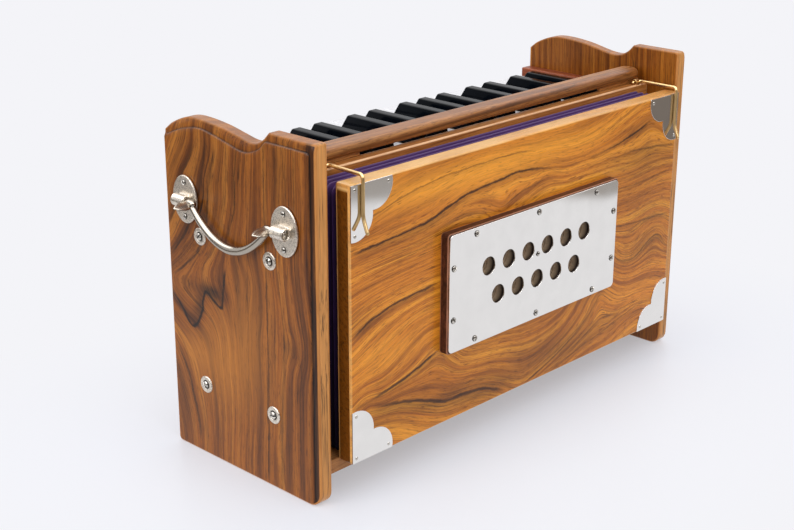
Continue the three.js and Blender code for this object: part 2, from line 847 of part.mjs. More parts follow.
// A hairpin spring: one leg on the base, a coil at the back and one leg under the reservoir board
function makeReservoirSpring() {
  const low = baseTop + seat + springWire.radius;
  const high = reservoirBottom - reservoir.boardThickness - seat - springWire.radius;
  const middle = (low + high) / 2;
  const front = reservoirFront + springWire.legInset;
  const coilY = reservoirBack - springWire.legInset - springWire.coilRadius;
  const spread = springWire.turns * springWire.radius * 3;
  const points = [
    new THREE.Vector3(-spread, front, low),
    new THREE.Vector3(-spread, (front + coilY) / 2, (low * 3 + middle) / 4),
  ];
  const stepsPerTurn = 10;
  const sweep = springWire.turns + 0.5;
  const count = Math.round(sweep * stepsPerTurn);
  for (let i = 0; i <= count; i += 1) {
    const share = i / count;
    const angle = -Math.PI / 2 + share * sweep * 2 * Math.PI;
    points.push(
      new THREE.Vector3(
        -spread + 2 * spread * share,
        coilY + springWire.coilRadius * Math.cos(angle),
        middle + springWire.coilRadius * Math.sin(angle),
      ),
    );
  }
  points.push(new THREE.Vector3(spread, (front + coilY) / 2, (high * 3 + middle) / 4));
  points.push(new THREE.Vector3(spread, front, high));
  return tube(points, springWire.radius, 72, 6);
}

add('reservoir_spring', makeReservoirSpring(), 'steel');

// Bellows cloth, folded up between the back frame and the pump board
function makeBellowsCloth() {
  const low = boardBottom + pumpBoard.lap + seat;
  const high = boardTop - bellows.topDrop;
  const middle = (low + high) / 2;
  const [front, back] = [frameBack + seat, boardBack - seat];
  const section = foldSection(bellows.folds, bellows.foldDepth, bellows.wall, front, back);
  section.reverse();
  const halfWidth = boardHalf - bellows.edgeInset;
  return foldedRing(section, halfWidth, (high - low) / 2, (u, v, depth) => [u, depth, middle + v]);
}

add('bellows_cloth', makeBellowsCloth(), 'cloth');

// Centres of the air holes, in (x, z)
const airHoles = airRows.flatMap(({ count, side }) => {
  const row = [];
  for (let i = 0; i < count; i += 1) {
    row.push([(i - (count - 1) / 2) * airPlate.holePitch, airCentre + (side * airPlate.rowGap) / 2]);
  }
  return row;
});

// A two-lobed plate in the corner of the pump board, with its three pins
function cornerOutline(sideX, sideZ) {
  const cornerX = sideX * boardHalf;
  const cornerZ = sideZ > 0 ? boardTop : boardBottom;
  const { lobeRadius, lobeShift, lobeReach } = cornerPlate;
  const lap = Math.asin(lobeShift / lobeRadius);
  const arc = (u, v, from, to) => {
    const points = [];
    const steps = 7;
    for (let i = 0; i <= steps; i += 1) {
      const angle = from + ((to - from) * i) / steps;
      points.push([u + lobeRadius * Math.cos(angle), v + lobeRadius * Math.sin(angle)]);
    }
    return points;
  };
  const meet = Math.asin(Math.SQRT1_2 * ((lobeReach - lobeShift) / lobeRadius)) - Math.PI / 4;
  const outline = [
    [0, 0],
    ...arc(lobeReach, lobeShift, -lap, Math.PI / 2 + meet),
    ...arc(lobeShift, lobeReach, -meet, Math.PI / 2 + lap),
  ];
  const placed = outline.map(([u, v]) => [cornerX - sideX * u, cornerZ - sideZ * v]);
  return sideX * sideZ > 0 ? placed : placed.reverse();
}

function makeCornerPlate(sideX, sideZ) {
  const face = boardFace + cornerPlate.thickness;
  const plate = prism('y', cornerOutline(sideX, sideZ), boardFace - weld, face);
  const cornerX = sideX * boardHalf;
  const cornerZ = sideZ > 0 ? boardTop : boardBottom;
  const near = cornerPlate.lobeShift;
  const far = cornerPlate.lobeReach + cornerPlate.lobeRadius - cornerPlate.lobeShift;
  const pins = [
    [near, near],
    [far, near],
    [near, far],
  ].map(([u, v]) => {
    const foot = [cornerX - sideX * u, face, cornerZ - sideZ * v];
    return screwHead(cornerPlate.pinRadius, cornerPlate.pinHeight, [0, 1, 0], foot);
  });
  return join([plate, ...pins]);
}

function makePumpBoard() {
  const board = box(-boardHalf, boardHalf, boardBack, boardFace, boardBottom, boardTop);
  const block = box(
    -airBlock.width / 2,
    airBlock.width / 2,
    boardFace - weld,
    blockFace,
    airCentre - airBlock.height / 2,
    airCentre + airBlock.height / 2,
  );
  const corners = [
    [1, 1],
    [1, -1],
    [-1, 1],
    [-1, -1],
  ].map(([x, z]) => makeCornerPlate(x, z));
  const holes = airHoles.map((centre) =>
    bar('y', airPlate.holeRadius, boardBack - overrun, blockFace + overrun, centre, facets.hole),
  );
  return cut(join([board, block, ...corners]), holes);
}

add('pump_board', makePumpBoard(), 'boardWood');

// The pierced plate over the air holes, with its slotted screws
function makeAirPlate() {
  const halfX = airBlock.width / 2 - airPlate.margin;
  const halfZ = airBlock.height / 2 - airPlate.margin;
  const r = airPlate.cornerRadius;
  const shape = new THREE.Shape();
  shape.moveTo(r - halfX, airCentre - halfZ);
  shape.lineTo(halfX - r, airCentre - halfZ);
  shape.quadraticCurveTo(halfX, airCentre - halfZ, halfX, airCentre - halfZ + r);
  shape.lineTo(halfX, airCentre + halfZ - r);
  shape.quadraticCurveTo(halfX, airCentre + halfZ, halfX - r, airCentre + halfZ);
  shape.lineTo(r - halfX, airCentre + halfZ);
  shape.quadraticCurveTo(-halfX, airCentre + halfZ, -halfX, airCentre + halfZ - r);
  shape.lineTo(-halfX, airCentre - halfZ + r);
  shape.quadraticCurveTo(-halfX, airCentre - halfZ, r - halfX, airCentre - halfZ);
  const sheet = prism('y', shape, blockFace, plateFace, 3);
  const holes = airHoles.map((centre) =>
    bar('y', airPlate.holeRadius, blockFace - overrun, plateFace + overrun, centre, facets.hole),
  );
  const edgeZ = halfZ - plateScrew.inset;
  const edgeX = halfX - plateScrew.inset;
  const places = [[0, airPlate.rowGap * 0.3]];
  for (const side of [-1, 1]) {
    for (const x of [-plateScrew.side, 0, plateScrew.side]) places.push([x, side * edgeZ]);
    for (const z of [-plateScrew.rise, plateScrew.rise]) places.push([side * edgeX, z]);
  }
  const heads = places.map(([x, z]) =>
    screwHead(plateScrew.radius, plateScrew.height, [0, 1, 0], [x, plateFace, airCentre + z]),
  );
  return join([cut(sheet, holes), ...heads]);
}

add('air_plate', makeAirPlate(), 'polished');

// The leather flap that lets air in behind the holes and shuts when the board is pushed
const flapHalf = ((airRows[0].count - 1) / 2) * airPlate.holePitch + airPlate.holeRadius + flap.margin;
const flapReach = airPlate.rowGap / 2 + airPlate.holeRadius + flap.margin;
add(
  'inlet_flap',
  box(
    -flapHalf,
    flapHalf,
    boardBack - seat - flap.thickness,
    boardBack - seat,
    airCentre - flapReach,
    airCentre + flapReach,
  ),
  'leather',
);

// Wire catches: a pin under the strap, a strand over the board's top and a leg down its face
function makeCatch(side) {
  const foot = catchFoot(side);
  const front = foot + wireCatch.slant;
  const y = catchFace + wireCatch.radius;
  const top = catchPivot.z;
  const pinEnd = foot + strapStart + wireCatch.strapWidth + wireCatch.pinOverhang;
  const corners = [
    new THREE.Vector3(pinEnd, catchPivot.y, top),
    new THREE.Vector3(foot, catchPivot.y, top),
    new THREE.Vector3(front, y, top),
    new THREE.Vector3(front, y, top - wireCatch.drop),
    new THREE.Vector3(front, y + wireCatch.flareReach, top - wireCatch.drop - wireCatch.flareDrop),
  ];
  return bentWire(corners, wireCatch.bendRadius, wireCatch.radius);
}

add('catch_treble', makeCatch(1), 'brass');
add('catch_bass', makeCatch(-1), 'brass');

// Handle roses: an oval plate, a bored boss for the bail's pin and two screws
function makeRose(side, centreY) {
  const face = outerHalf + seat;
  const outer = face + rose.thickness;
  const shape = new THREE.Shape();
  shape.absellipse(centreY, bailAxis.z, rose.width / 2, rose.height / 2, 0, 2 * Math.PI);
  const [x0, x1] = side > 0 ? [face, outer] : [-outer, -face];
  const plate = prism('x', shape, x0, x1, 10);
  const x = side * bailAxis.x;
  const half = rose.bossLength / 2;
  const boss = bar('y', rose.bossRadius, centreY - half, centreY + half, [x, bailAxis.z], facets.hole);
  const neck = box(
    Math.min(side * (outer - weld), x),
    Math.max(side * (outer - weld), x),
    centreY - half,
    centreY + half,
    bailAxis.z - rose.bossRadius * 0.8,
    bailAxis.z + rose.bossRadius * 0.8,
  );
  const screws = [-1, 1].map((v) => {
    const foot = [side * outer, centreY, bailAxis.z + v * rose.screwOffset];
    return screwHead(roseScrew.radius, roseScrew.height, [side, 0, 0], foot);
  });
  const bore = bar(
    'y',
    bail.pinRadius + running,
    centreY - half - overrun,
    centreY + half + overrun,
    [x, bailAxis.z],
    facets.hole,
  );
  return join([cut(join([plate, boss, neck]), [bore]), ...screws]);
}

// The bail hangs in a parabola between its two pins, with a leaf-shaped tab at each end
function makeBail(side) {
  const spacing = roseBack - roseFront;
  const half = spacing / 2 - rose.bossLength / 2 - bail.endInset;
  const x = side * bailAxis.x;
  const points = [];
  const steps = 16;
  for (let i = 0; i <= steps; i += 1) {
    const share = (2 * i) / steps - 1;
    const y = bailAxis.y + share * half;
    points.push(new THREE.Vector3(x, y, bailAxis.z - bail.drop * (1 - share * share)));
  }
  const parts = [tube(points, bail.radius, steps)];
  for (const end of [-1, 1]) {
    const corner = bailAxis.y + end * half;
    const tip = bailAxis.y + (end * (spacing + rose.bossLength)) / 2 - end * running;
    const [low, high] = [Math.min(corner, tip), Math.max(corner, tip)];
    const collar = bail.endInset * 0.7;
    const centre = [x, bailAxis.z];
    parts.push(bar('y', bail.pinRadius, low, high, centre, facets.small));
    parts.push(bar('y', bail.radius, corner - collar, corner + collar, centre, facets.small));
    const leaf = [
      [x - side * bail.pinRadius, corner - bailTab.width / 3],
      [x + side * bailTab.reach * 0.4, corner - bailTab.width / 2],
      [x + side * bailTab.reach, corner],
      [x + side * bailTab.reach * 0.4, corner + bailTab.width / 2],
      [x - side * bail.pinRadius, corner + bailTab.width / 3],
    ];
    if (side < 0) leaf.reverse();
    parts.push(prism('z', leaf, bailAxis.z - bailTab.thickness / 2, bailAxis.z + bailTab.thickness / 2));
  }
  return join(parts);
}

for (const [side, name] of [
  [1, 'treble'],
  [-1, 'bass'],
]) {
  add(`rose_${name}_front`, makeRose(side, roseFront), 'nickel');
  add(`rose_${name}_back`, makeRose(side, roseBack), 'nickel');
  add(`handle_${name}`, makeBail(side), 'nickel');
}

// The origin is under the middle of the whole harmonium, on the surface that it stands on
harmonium.position.y = -(knobTip + catchTip) / 2;

export default harmonium;
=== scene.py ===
# Dresses a small hand-pumped Indian harmonium: wood with its figure, nickel, polished sheet, brass wire,
# purple bellows cloth, and the keys. Sizes are in millimetres until a mesh is made, and depths are
# measured from the middle of the cheeks.

import math
from functools import cache, partial

import bpy
import numpy as np
from bpy.props import FloatProperty, FloatVectorProperty, IntProperty, PointerProperty
from mathutils import Matrix, Vector
from mathutils.geometry import delaunay_2d_cdt


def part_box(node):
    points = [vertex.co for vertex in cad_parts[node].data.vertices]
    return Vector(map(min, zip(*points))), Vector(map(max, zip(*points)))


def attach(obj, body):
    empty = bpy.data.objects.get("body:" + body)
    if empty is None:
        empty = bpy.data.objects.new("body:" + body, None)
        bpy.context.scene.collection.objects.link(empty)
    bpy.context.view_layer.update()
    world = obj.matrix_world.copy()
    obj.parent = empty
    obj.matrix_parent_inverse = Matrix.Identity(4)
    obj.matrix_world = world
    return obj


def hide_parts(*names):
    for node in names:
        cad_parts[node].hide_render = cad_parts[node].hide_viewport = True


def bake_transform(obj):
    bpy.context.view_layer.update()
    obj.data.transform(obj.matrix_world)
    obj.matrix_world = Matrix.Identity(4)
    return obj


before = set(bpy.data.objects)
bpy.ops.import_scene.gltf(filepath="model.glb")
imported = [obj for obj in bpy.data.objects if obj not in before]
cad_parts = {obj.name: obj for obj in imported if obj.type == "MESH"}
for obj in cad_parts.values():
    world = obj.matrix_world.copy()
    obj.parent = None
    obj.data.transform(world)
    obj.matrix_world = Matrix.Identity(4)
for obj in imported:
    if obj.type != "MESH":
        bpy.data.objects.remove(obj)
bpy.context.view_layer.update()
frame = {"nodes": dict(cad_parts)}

bl_info = {
    "name": "Indian Harmonium",
    "version": (1, 0, 0),
    "blender": (4, 5, 0),
    "location": "3D View > Sidebar > Harmonium",
    "description": "Builds the harmonium's finished pieces over its CAD frame",
    "category": "Object",
}

MM = 0.001


def edges(node):
    """Lowest and highest corner of a CAD node in millimetres."""
    low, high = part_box(node)
    return np.array(low) * 1000, np.array(high) * 1000


# Faces and levels of the case, measured from the middle of the cheeks' depth
CHEEK_LOW, CHEEK_HIGH = edges("cheek_treble")
SHIFT = (CHEEK_LOW[1] + CHEEK_HIGH[1]) / 2
DEPTH = CHEEK_HIGH[1] - CHEEK_LOW[1]
FRONT, BACK = -DEPTH / 2, DEPTH / 2
INNER = CHEEK_LOW[0]
CHEEK_THICKNESS = 14.0
OUTER = INNER + CHEEK_THICKNESS
CHEEK_TOP = CHEEK_HIGH[2]
SIDES = (("treble", 1), ("bass", -1))

# Depth of the pump board's faces, and of the plate's that lies on its raised block
BOARD_BACK, BOARD_FACE, BLOCK_FACE, PLATE_FACE = 82.75, 97.75, 105.75, 106.95
# Where small moving parts turn or slide: depth and height of the catches' eyes, distance from the middle
# and height of the handles' axis, and the same distance of the stops' rods
CATCH_EYE = (52.5, 260.8)
HANDLE_AXIS = (242.3, 220.0)
STOP_PLACE, KNOB_RADIUS = 110.0, 9.0
# Free space beside a key, and thickness of the bellows' folds
KEY_GAP, CLOTH = 0.7, 0.8


def centred(node):
    """A CAD node's corners with Y measured from the middle of the cheeks."""
    low, high = edges(node)
    shift = np.array([0, SHIFT, 0])
    return low - shift, high - shift


# ---- Colour and nodes


def linear(code):
    """An sRGB hex colour as linear RGB."""
    values = [int(code[i : i + 2], 16) / 255 for i in (1, 3, 5)]
    return tuple(v / 12.92 if v <= 0.04045 else ((v + 0.055) / 1.055) ** 2.4 for v in values)


def rgba(colour):
    """A colour with full opacity."""
    return (*tuple(colour)[:3], 1.0)


def scaled(colour, share):
    """A colour made darker or lighter by one share of all its values."""
    return [value * share for value in colour]


def add_node(tree, kind, *values, output=0, stops=None, **settings):
    """Adds a shader node, sets its fields, sets or links its inputs, by name from a dictionary or else in
    the order of its open sockets, places a ramp's stops, and gives back one of its outputs."""
    made = tree.nodes.new("ShaderNode" + kind)
    for name, value in settings.items():
        setattr(made, name, value)
    if values and isinstance(values[0], dict):
        pairs = [(made.inputs[name], value) for name, value in values[0].items()]
    else:
        pairs = zip((socket for socket in made.inputs if socket.enabled), values)
    for socket, value in pairs:
        if isinstance(value, bpy.types.NodeSocket):
            tree.links.new(value, socket)
        else:
            socket.default_value = rgba(value) if socket.type == "RGBA" else value
    while stops and len(made.color_ramp.elements) < len(stops):
        made.color_ramp.elements.new(0.5)
    for element, (place, colour) in zip(made.color_ramp.elements if stops else (), stops or ()):
        element.position = place
        element.color = rgba(colour if hasattr(colour, "__len__") else (colour,) * 3)
    return made.outputs[output] if made.outputs else None


def chosen(own):
    """A finish's own colour in linear light: the settings' colour of that name, or a hex colour."""
    return tuple(getattr(bpy.context.scene.harmonium_colours, own)) if own in COLOURS else linear(own)


def new_material(name):
    """An empty node material, and the function that adds nodes to it."""
    material = bpy.data.materials.new(name)
    material.use_nodes = True
    material.node_tree.nodes.clear()
    return material, partial(add_node, material.node_tree)


def finish_material(material, node, inputs):
    """Closes a material with one Principled shader and the output."""
    node("OutputMaterial", {"Surface": node("BsdfPrincipled", inputs)})
    return material


# A Mix node that mixes colours, and which of its outputs carries them
COLOUR_MIX = {"output": 2, "data_type": "RGBA"}

# The finishes' own colours, which the settings start from
COLOURS = {
    "cheek": "#945213",
    "board": "#cd7a20",
    "frame": "#c4803f",
    "case": "#a06a3a",
    "rail": "#955c2c",
    "block": "#8c4529",
    "cloth": "#54366c",
    "white_key": "#f1f1f5",
    # The black keys' cool cast is a painted reflection of the sky on their tops
    "black_key": "#070b11",
    "nickel": "#efe6da",
    "sheet": "#eceae8",
    "bail": "#b3aba0",
    "brass": "#e6c48c",
    "leather": "#8d8478",
    "knob": "#2a1c14",
}


def size(name):
    """A size from the settings, in millimetres."""
    return getattr(bpy.context.scene.harmonium_sizes, name) / MM


# ---- Surfaces worked out with numpy


def grid_faces(rows, columns, close_rows=False, close_columns=False):
    """Quads between neighbouring points of a rows by columns grid."""
    i = np.arange(rows if close_rows else rows - 1)[:, None]
    j = np.arange(columns if close_columns else columns - 1)[None, :]
    a = i * columns + j
    b = ((i + 1) % rows) * columns + j
    c = ((i + 1) % rows) * columns + (j + 1) % columns
    d = i * columns + (j + 1) % columns
    return np.stack(np.broadcast_arrays(a, b, c, d), -1).reshape(-1, 4)


def shell(points, faces, edge=None):
    """A closed surface with its faces turned outwards: its signed volume, the sum of the tetrahedra that
    its triangles make with the origin, is made positive."""
    points = np.asarray(points, float)
    volume = 0.0
    for group in faces:
        group = np.asarray(group)
        for k in range(1, group.shape[1] - 1):
            a, b, c = points[group[:, 0]], points[group[:, k]], points[group[:, k + 1]]
            volume += float(np.einsum("ij,ij->i", a, np.cross(b, c)).sum())
    if volume < 0:
        faces = [np.asarray(group)[:, ::-1] for group in faces]
    return points, faces, np.zeros(len(points)) if edge is None else edge


def merged(shells):
    """Several shells as one."""
    points, faces, edge, start = [], [], [], 0
    for p, f, e in shells:
        points.append(p)
        faces += [np.asarray(group) + start for group in f]
        edge.append(e)
        start += len(p)
    return np.concatenate(points), faces, np.concatenate(edge)


def turn(axis, across, up, height):
    """Plane coordinates (across, up) and a height along an axis as points in space."""
    order = {"x": (height, across, up), "y": (across, height, up), "z": (across, up, height)}[axis]
    return np.stack(np.broadcast_arrays(*order), -1)


def area_of(loop):
    """Half the sum of the cross products of neighbouring points, positive for an anticlockwise loop."""
    x, y = loop.T
    return 0.5 * float((x * np.roll(y, -1) - y * np.roll(x, -1)).sum())


def left_normals(loop, closed=True):
    """Mitred left-hand normals of a polyline: the sum of its two edges' normals over one plus their dot."""
    ahead = np.roll(loop, -1, 0) - loop
    if not closed:
        ahead[-1] = ahead[-2]
    ahead /= np.maximum(np.linalg.norm(ahead, axis=1, keepdims=True), 1e-9)
    behind = np.roll(ahead, 1, 0)
    if not closed:
        behind[0] = ahead[0]
    n1 = np.stack([-behind[:, 1], behind[:, 0]], 1)
    n2 = np.stack([-ahead[:, 1], ahead[:, 0]], 1)
    dot = np.maximum((n1 * n2).sum(1, keepdims=True), -0.6)
    return (n1 + n2) / (1 + dot)


def inside(points, loops):
    """Even-odd test of many points against closed loops."""
    crossings = np.zeros(len(points), int)
    x, y = points[:, 0][:, None], points[:, 1][:, None]
    for loop in loops:
        x0, y0 = loop.T
        x1, y1 = np.roll(loop, -1, 0).T
        spans = (y0 > y) != (y1 > y)
        slope = (x1 - x0) / np.where(y1 == y0, 1e-12, y1 - y0)
        crossings += (spans & (x < x0 + (y - y0) * slope)).sum(1)
    return crossings % 2 == 1


def chained(triangles):
    """The boundary loops of a triangulation: edges whose reverse isn't used, put end to end."""
    pairs = np.concatenate([triangles[:, [0, 1]], triangles[:, [1, 2]], triangles[:, [2, 0]]])
    used = {tuple(pair) for pair in pairs.tolist()}
    following = {a: b for a, b in used if (b, a) not in used}
    loops = []
    while following:
        start, at = next(iter(following.items()))
        loop = [start]
        del following[start]
        while at != start:
            loop.append(at)
            at = following.pop(at)
        loops.append(np.array(loop))
    return loops


def filled(loops, lines, spacing):
    """Triangles that fill the plane between an outline and its holes. Lines are kept as edges, and a grid
    of points at the spacing lets a surface be shaped between them."""
    points, wires = [], []

    def string(row, closed):
        start = sum(len(p) for p in points)
        points.append(row)
        ids = np.arange(start, start + len(row))
        wires.extend(zip(ids[:-1].tolist(), ids[1:].tolist()))
        if closed:
            wires.append((int(ids[-1]), int(ids[0])))

    for loop in loops:
        string(loop, True)
    for line, closed in lines:
        keep = inside(line, loops)
        if keep.all():
            string(line, closed)
            continue
        runs = np.split(np.arange(len(line)), np.where(np.diff(keep.astype(int)) != 0)[0] + 1)
        for run in runs:
            if keep[run[0]] and len(run) > 1:
                string(line[run], False)
    if spacing:
        low, high = loops[0].min(0), loops[0].max(0)
        count = np.maximum(np.round((high - low) / spacing).astype(int), 1)
        u, v = np.meshgrid(*[np.linspace(low[k], high[k], count[k] + 1)[1:-1] for k in (0, 1)])
        inner = np.stack([u.ravel(), v.ravel()], 1)
        solid = np.concatenate(points)
        inner = inner[inside(inner, loops)]
        gap = np.full(len(inner), np.inf)
        for chunk in np.array_split(solid, max(1, len(solid) // 200)):
            gap = np.minimum(gap, np.linalg.norm(inner[:, None] - chunk[None], axis=2).min(1))
        points.append(inner[gap > spacing * 0.45])
    flat = np.concatenate(points)
    made = delaunay_2d_cdt([Vector(p) for p in flat.tolist()], wires, [], 0, 1e-5)
    corners = np.array([tuple(v) for v in made[0]])
    triangles = np.array([tuple(f) for f in made[2]])
    return corners, triangles[inside(corners[triangles].mean(1), loops)]


def slab(loops, low, high, rim, axis, lines=(), spacing=None, relief=None, arc=4):
    """A board or plate between two heights along an axis. Its outline and holes are closed loops, and its
    edges are rounded: a quarter circle of the rim's radius is carried round every loop."""
    loops = [np.asarray(loop, float) for loop in loops]
    loops = [loop if (area_of(loop) > 0) == (k == 0) else loop[::-1] for k, loop in enumerate(loops)]
    drawn = [loop + left_normals(loop) * rim for loop in loops]
    support = [(loop + left_normals(loop) * (rim + min(0.5, rim * 0.3)), True) for loop in loops]
    flat, triangles = filled(drawn, [*support, *lines], spacing)
    count = len(flat)
    sunk = relief(flat) if relief else np.zeros(count)
    points = [turn(axis, flat[:, 0], flat[:, 1], high - sunk), turn(axis, flat[:, 0], flat[:, 1], low)]
    faces = [triangles, triangles[:, ::-1] + count]
    edge = [np.zeros(count), np.zeros(count)]
    start = 2 * count
    turns = np.linspace(0, np.pi / 2, arc + 1)[1:]
    small = min(0.6, (high - low - 2 * rim) / 3)
    for loop in chained(triangles):
        outward = -left_normals(flat[loop])
        steps = [(rim * np.sin(t), rim * (1 - np.cos(t))) for t in turns] + [(rim, rim + small)]
        worn = [1.0] * arc + [2.0 if area_of(flat[loop]) > 0 else 3.0]
        rows = [(out, high - down, 1.0, mark) for (out, down), mark in zip(steps, worn)]
        rows += [(out, low + down, 0.0, mark) for (out, down), mark in reversed(list(zip(steps, worn)))]
        ids = [loop]
        for out, height, top, mark in rows:
            ring = flat[loop] + outward * out
            points.append(turn(axis, ring[:, 0], ring[:, 1], height - sunk[loop] * top))
            edge.append(np.full(len(loop), mark))
            ids.append(np.arange(start, start + len(loop)))
            start += len(loop)
        ids.append(loop + count)
        for a, b in zip(ids[:-1], ids[1:]):
            faces.append(np.stack([a, b, np.roll(b, -1), np.roll(a, -1)], 1))
    return shell(np.concatenate(points), faces, np.concatenate(edge))


def round_rectangle(x0, x1, y0, y1, radius, steps=5):
    """A rectangle with corners of a quarter circle: each corner's centre plus the radius times cosine and
    sine, anticlockwise."""
    right, left, upper, lower = x1 - radius, x0 + radius, y1 - radius, y0 + radius
    arcs = []
    for k, centre in enumerate([(right, upper), (left, upper), (left, lower), (right, lower)]):
        angles = np.linspace(0, np.pi / 2, steps) + k * np.pi / 2
        arcs.append(centre + radius * np.stack([np.cos(angles), np.sin(angles)], 1))
    return np.concatenate(arcs)


def spaced_loop(loop, step):
    """A closed loop with points added so that none of its edges is longer than the step."""
    ahead = np.roll(loop, -1, 0)
    counts = np.maximum(np.ceil(np.linalg.norm(ahead - loop, axis=1) / step).astype(int), 1)
    shares = [np.linspace(0, 1, count, endpoint=False)[:, None] for count in counts]
    return np.concatenate([a + (b - a) * share for a, b, share in zip(loop, ahead, shares)])


def full_turn(count):
    """Equal angles round a circle."""
    return np.linspace(0, 2 * np.pi, count, endpoint=False)


def axes_round(axis):
    """An axis of length one, and two directions square to it and to each other."""
    axis = np.asarray(axis, float) / np.linalg.norm(axis)
    side = np.cross(axis, [0.0, 0.0, 1.0] if abs(axis[2]) < 0.9 else [1.0, 0.0, 0.0])
    side /= np.linalg.norm(side)
    return axis, side, np.cross(axis, side)


def fan(centre, row, turned):
    """Triangles from one point to a closed row of points, turned over or not."""
    ahead = np.roll(row, -1)
    return np.stack([np.full(len(row), centre), *((ahead, row) if turned else (row, ahead))], 1)


def stretches(line, spots):
    """For each stretch of a line: how far along it the point nearest to each spot lies, the distance to
    it, and the cross product of the stretch with the spot, above nought on the left."""
    for start, step in zip(line, np.diff(line, axis=0)):
        rel = spots - start
        share = np.clip(rel @ step / (step @ step), 0, 1)
        away = np.linalg.norm(rel - share[:, None] * step, axis=1)
        yield share * np.linalg.norm(step), away, step[0] * rel[:, 1] - step[1] * rel[:, 0]


def circle(centre, radius, count):
    """Points at equal angles: the centre plus the radius, or the two radii of an oval, times cosine and
    sine."""
    angles = full_turn(count)
    return np.array(centre) + np.array(radius) * np.stack([np.cos(angles), np.sin(angles)], 1)


def capped(rings, edge=None):
    """A shell through a row of rings, with a flat face at each end."""
    rows, count = len(rings), len(rings[0])
    caps = [np.arange(count)[None, ::-1], np.arange(count)[None] + count * (rows - 1)]
    return shell(np.concatenate(rings), [grid_faces(rows, count, close_columns=True), *caps], edge)


def block(foot, low, high, top=None, axis="z", corner=1.0, rims=(0.6, 0.6), arc=3):
    """A block whose rounded rectangle goes from its foot to its top in a straight line, with both ends
    rounded over: each ring is the rectangle at its height, drawn in by the quarter circle of its rim."""
    foot, top = np.array(foot, float), np.array(foot if top is None else top, float)
    turns = np.linspace(0, np.pi / 2, arc + 1)
    rows = [(rims[0] * (1 - np.sin(t)), low + rims[0] * (1 - np.cos(t))) for t in turns]
    rows += [(rims[1] * (1 - np.sin(t)), high - rims[1] * (1 - np.cos(t))) for t in turns[::-1]]
    inner = max(rims)
    rings, edge = [], []
    for inset, height in [(rims[0] + inner * 0.4, low), *rows, (rims[1] + inner * 0.4, high)]:
        x0, x1, y0, y1 = foot + (top - foot) * ((height - low) / (high - low))
        ring = round_rectangle(x0 + inset, x1 - inset, y0 + inset, y1 - inset, max(corner - inset, 0.05))
        rings.append(turn(axis, ring[:, 0], ring[:, 1], height))
        on_rim = inset < inner and (height < low + rims[0] or height > high - rims[1])
        edge.append(np.full(len(ring), float(on_rim)))
    return capped(rings, np.concatenate(edge))


def lathe(profile, foot, axis, count=32, closed=False):
    """A profile of (radius, height) pairs turned about an axis through the foot. It starts and ends on the
    axis, or it is a closed ring."""
    profile, foot = np.asarray(profile, float), np.asarray(foot, float)
    axis, side, other = axes_round(axis)
    angles = full_turn(count)
    ring = np.cos(angles)[:, None] * side + np.sin(angles)[:, None] * other
    body = profile if closed else profile[1:-1]
    points = body[:, 0][:, None, None] * ring[None] + body[:, 1][:, None, None] * axis + foot
    points = points.reshape(-1, 3)
    faces = [grid_faces(len(body), count, close_rows=closed, close_columns=True)]
    if not closed:
        around, last_row, first = np.arange(count), (len(body) - 1) * count, len(points)
        points = np.concatenate([points, foot + profile[[0, -1], 1][:, None] * axis])
        faces += [fan(first, around, False), fan(first + 1, last_row + around, True)]
    return shell(points, faces)


def through(points, steps):
    """A Catmull-Rom curve through points, each stretch in equal steps."""
    points = np.asarray(points, float)
    padded = np.concatenate([2 * points[:1] - points[1:2], points, 2 * points[-1:] - points[-2:-1]])
    t = np.linspace(0, 1, steps, endpoint=False)[:, None]
    rows = [
        0.5 * (2 * b + (c - a) * t + (2 * a - 5 * b + 4 * c - d) * t**2 + (3 * b - a - 3 * c + d) * t**3)
        for a, b, c, d in zip(padded, padded[1:], padded[2:], padded[3:])
    ]
    return np.concatenate([*rows, points[-1:]])


def swept(path, radii, count=16, ends=True):
    """A round section carried along a path without twist: each frame is the last one turned by the least
    angle. Its ends are closed by half spheres."""
    path = np.asarray(path, float)
    radii = np.broadcast_to(np.asarray(radii, float), len(path)).copy()
    tangents = np.gradient(path, axis=0)
    tangents /= np.linalg.norm(tangents, axis=1, keepdims=True)
    if ends:
        turns = np.linspace(0, np.pi / 2, 5)[1:]
        first, last = radii[0], radii[-1]
        head = [path[0] - tangents[0] * first * np.sin(t) for t in turns[::-1]]
        tail = [path[-1] + tangents[-1] * last * np.sin(t) for t in turns]
        grow = [max(first * np.cos(t), 0.02) for t in turns[::-1]]
        fall = [max(last * np.cos(t), 0.02) for t in turns]
        tangents = np.concatenate([np.repeat(tangents[:1], 4, 0), tangents, np.repeat(tangents[-1:], 4, 0)])
        path = np.concatenate([head, path, tail])
        radii = np.concatenate([grow, radii, fall])
    section = circle((0, 0), 1.0, count)
    normal = np.cross(tangents[0], [0.0, 0.0, 1.0])
    if np.linalg.norm(normal) < 0.1:
        normal = np.cross(tangents[0], [1.0, 0.0, 0.0])
    rings = []
    for point, tangent, radius in zip(path, tangents, radii):
        normal = normal - tangent * (normal @ tangent)
        normal /= np.linalg.norm(normal)
        across = np.cross(tangent, normal)
        rings.append(point + radius * (section[:, :1] * normal + section[:, 1:] * across))
    return capped(rings)


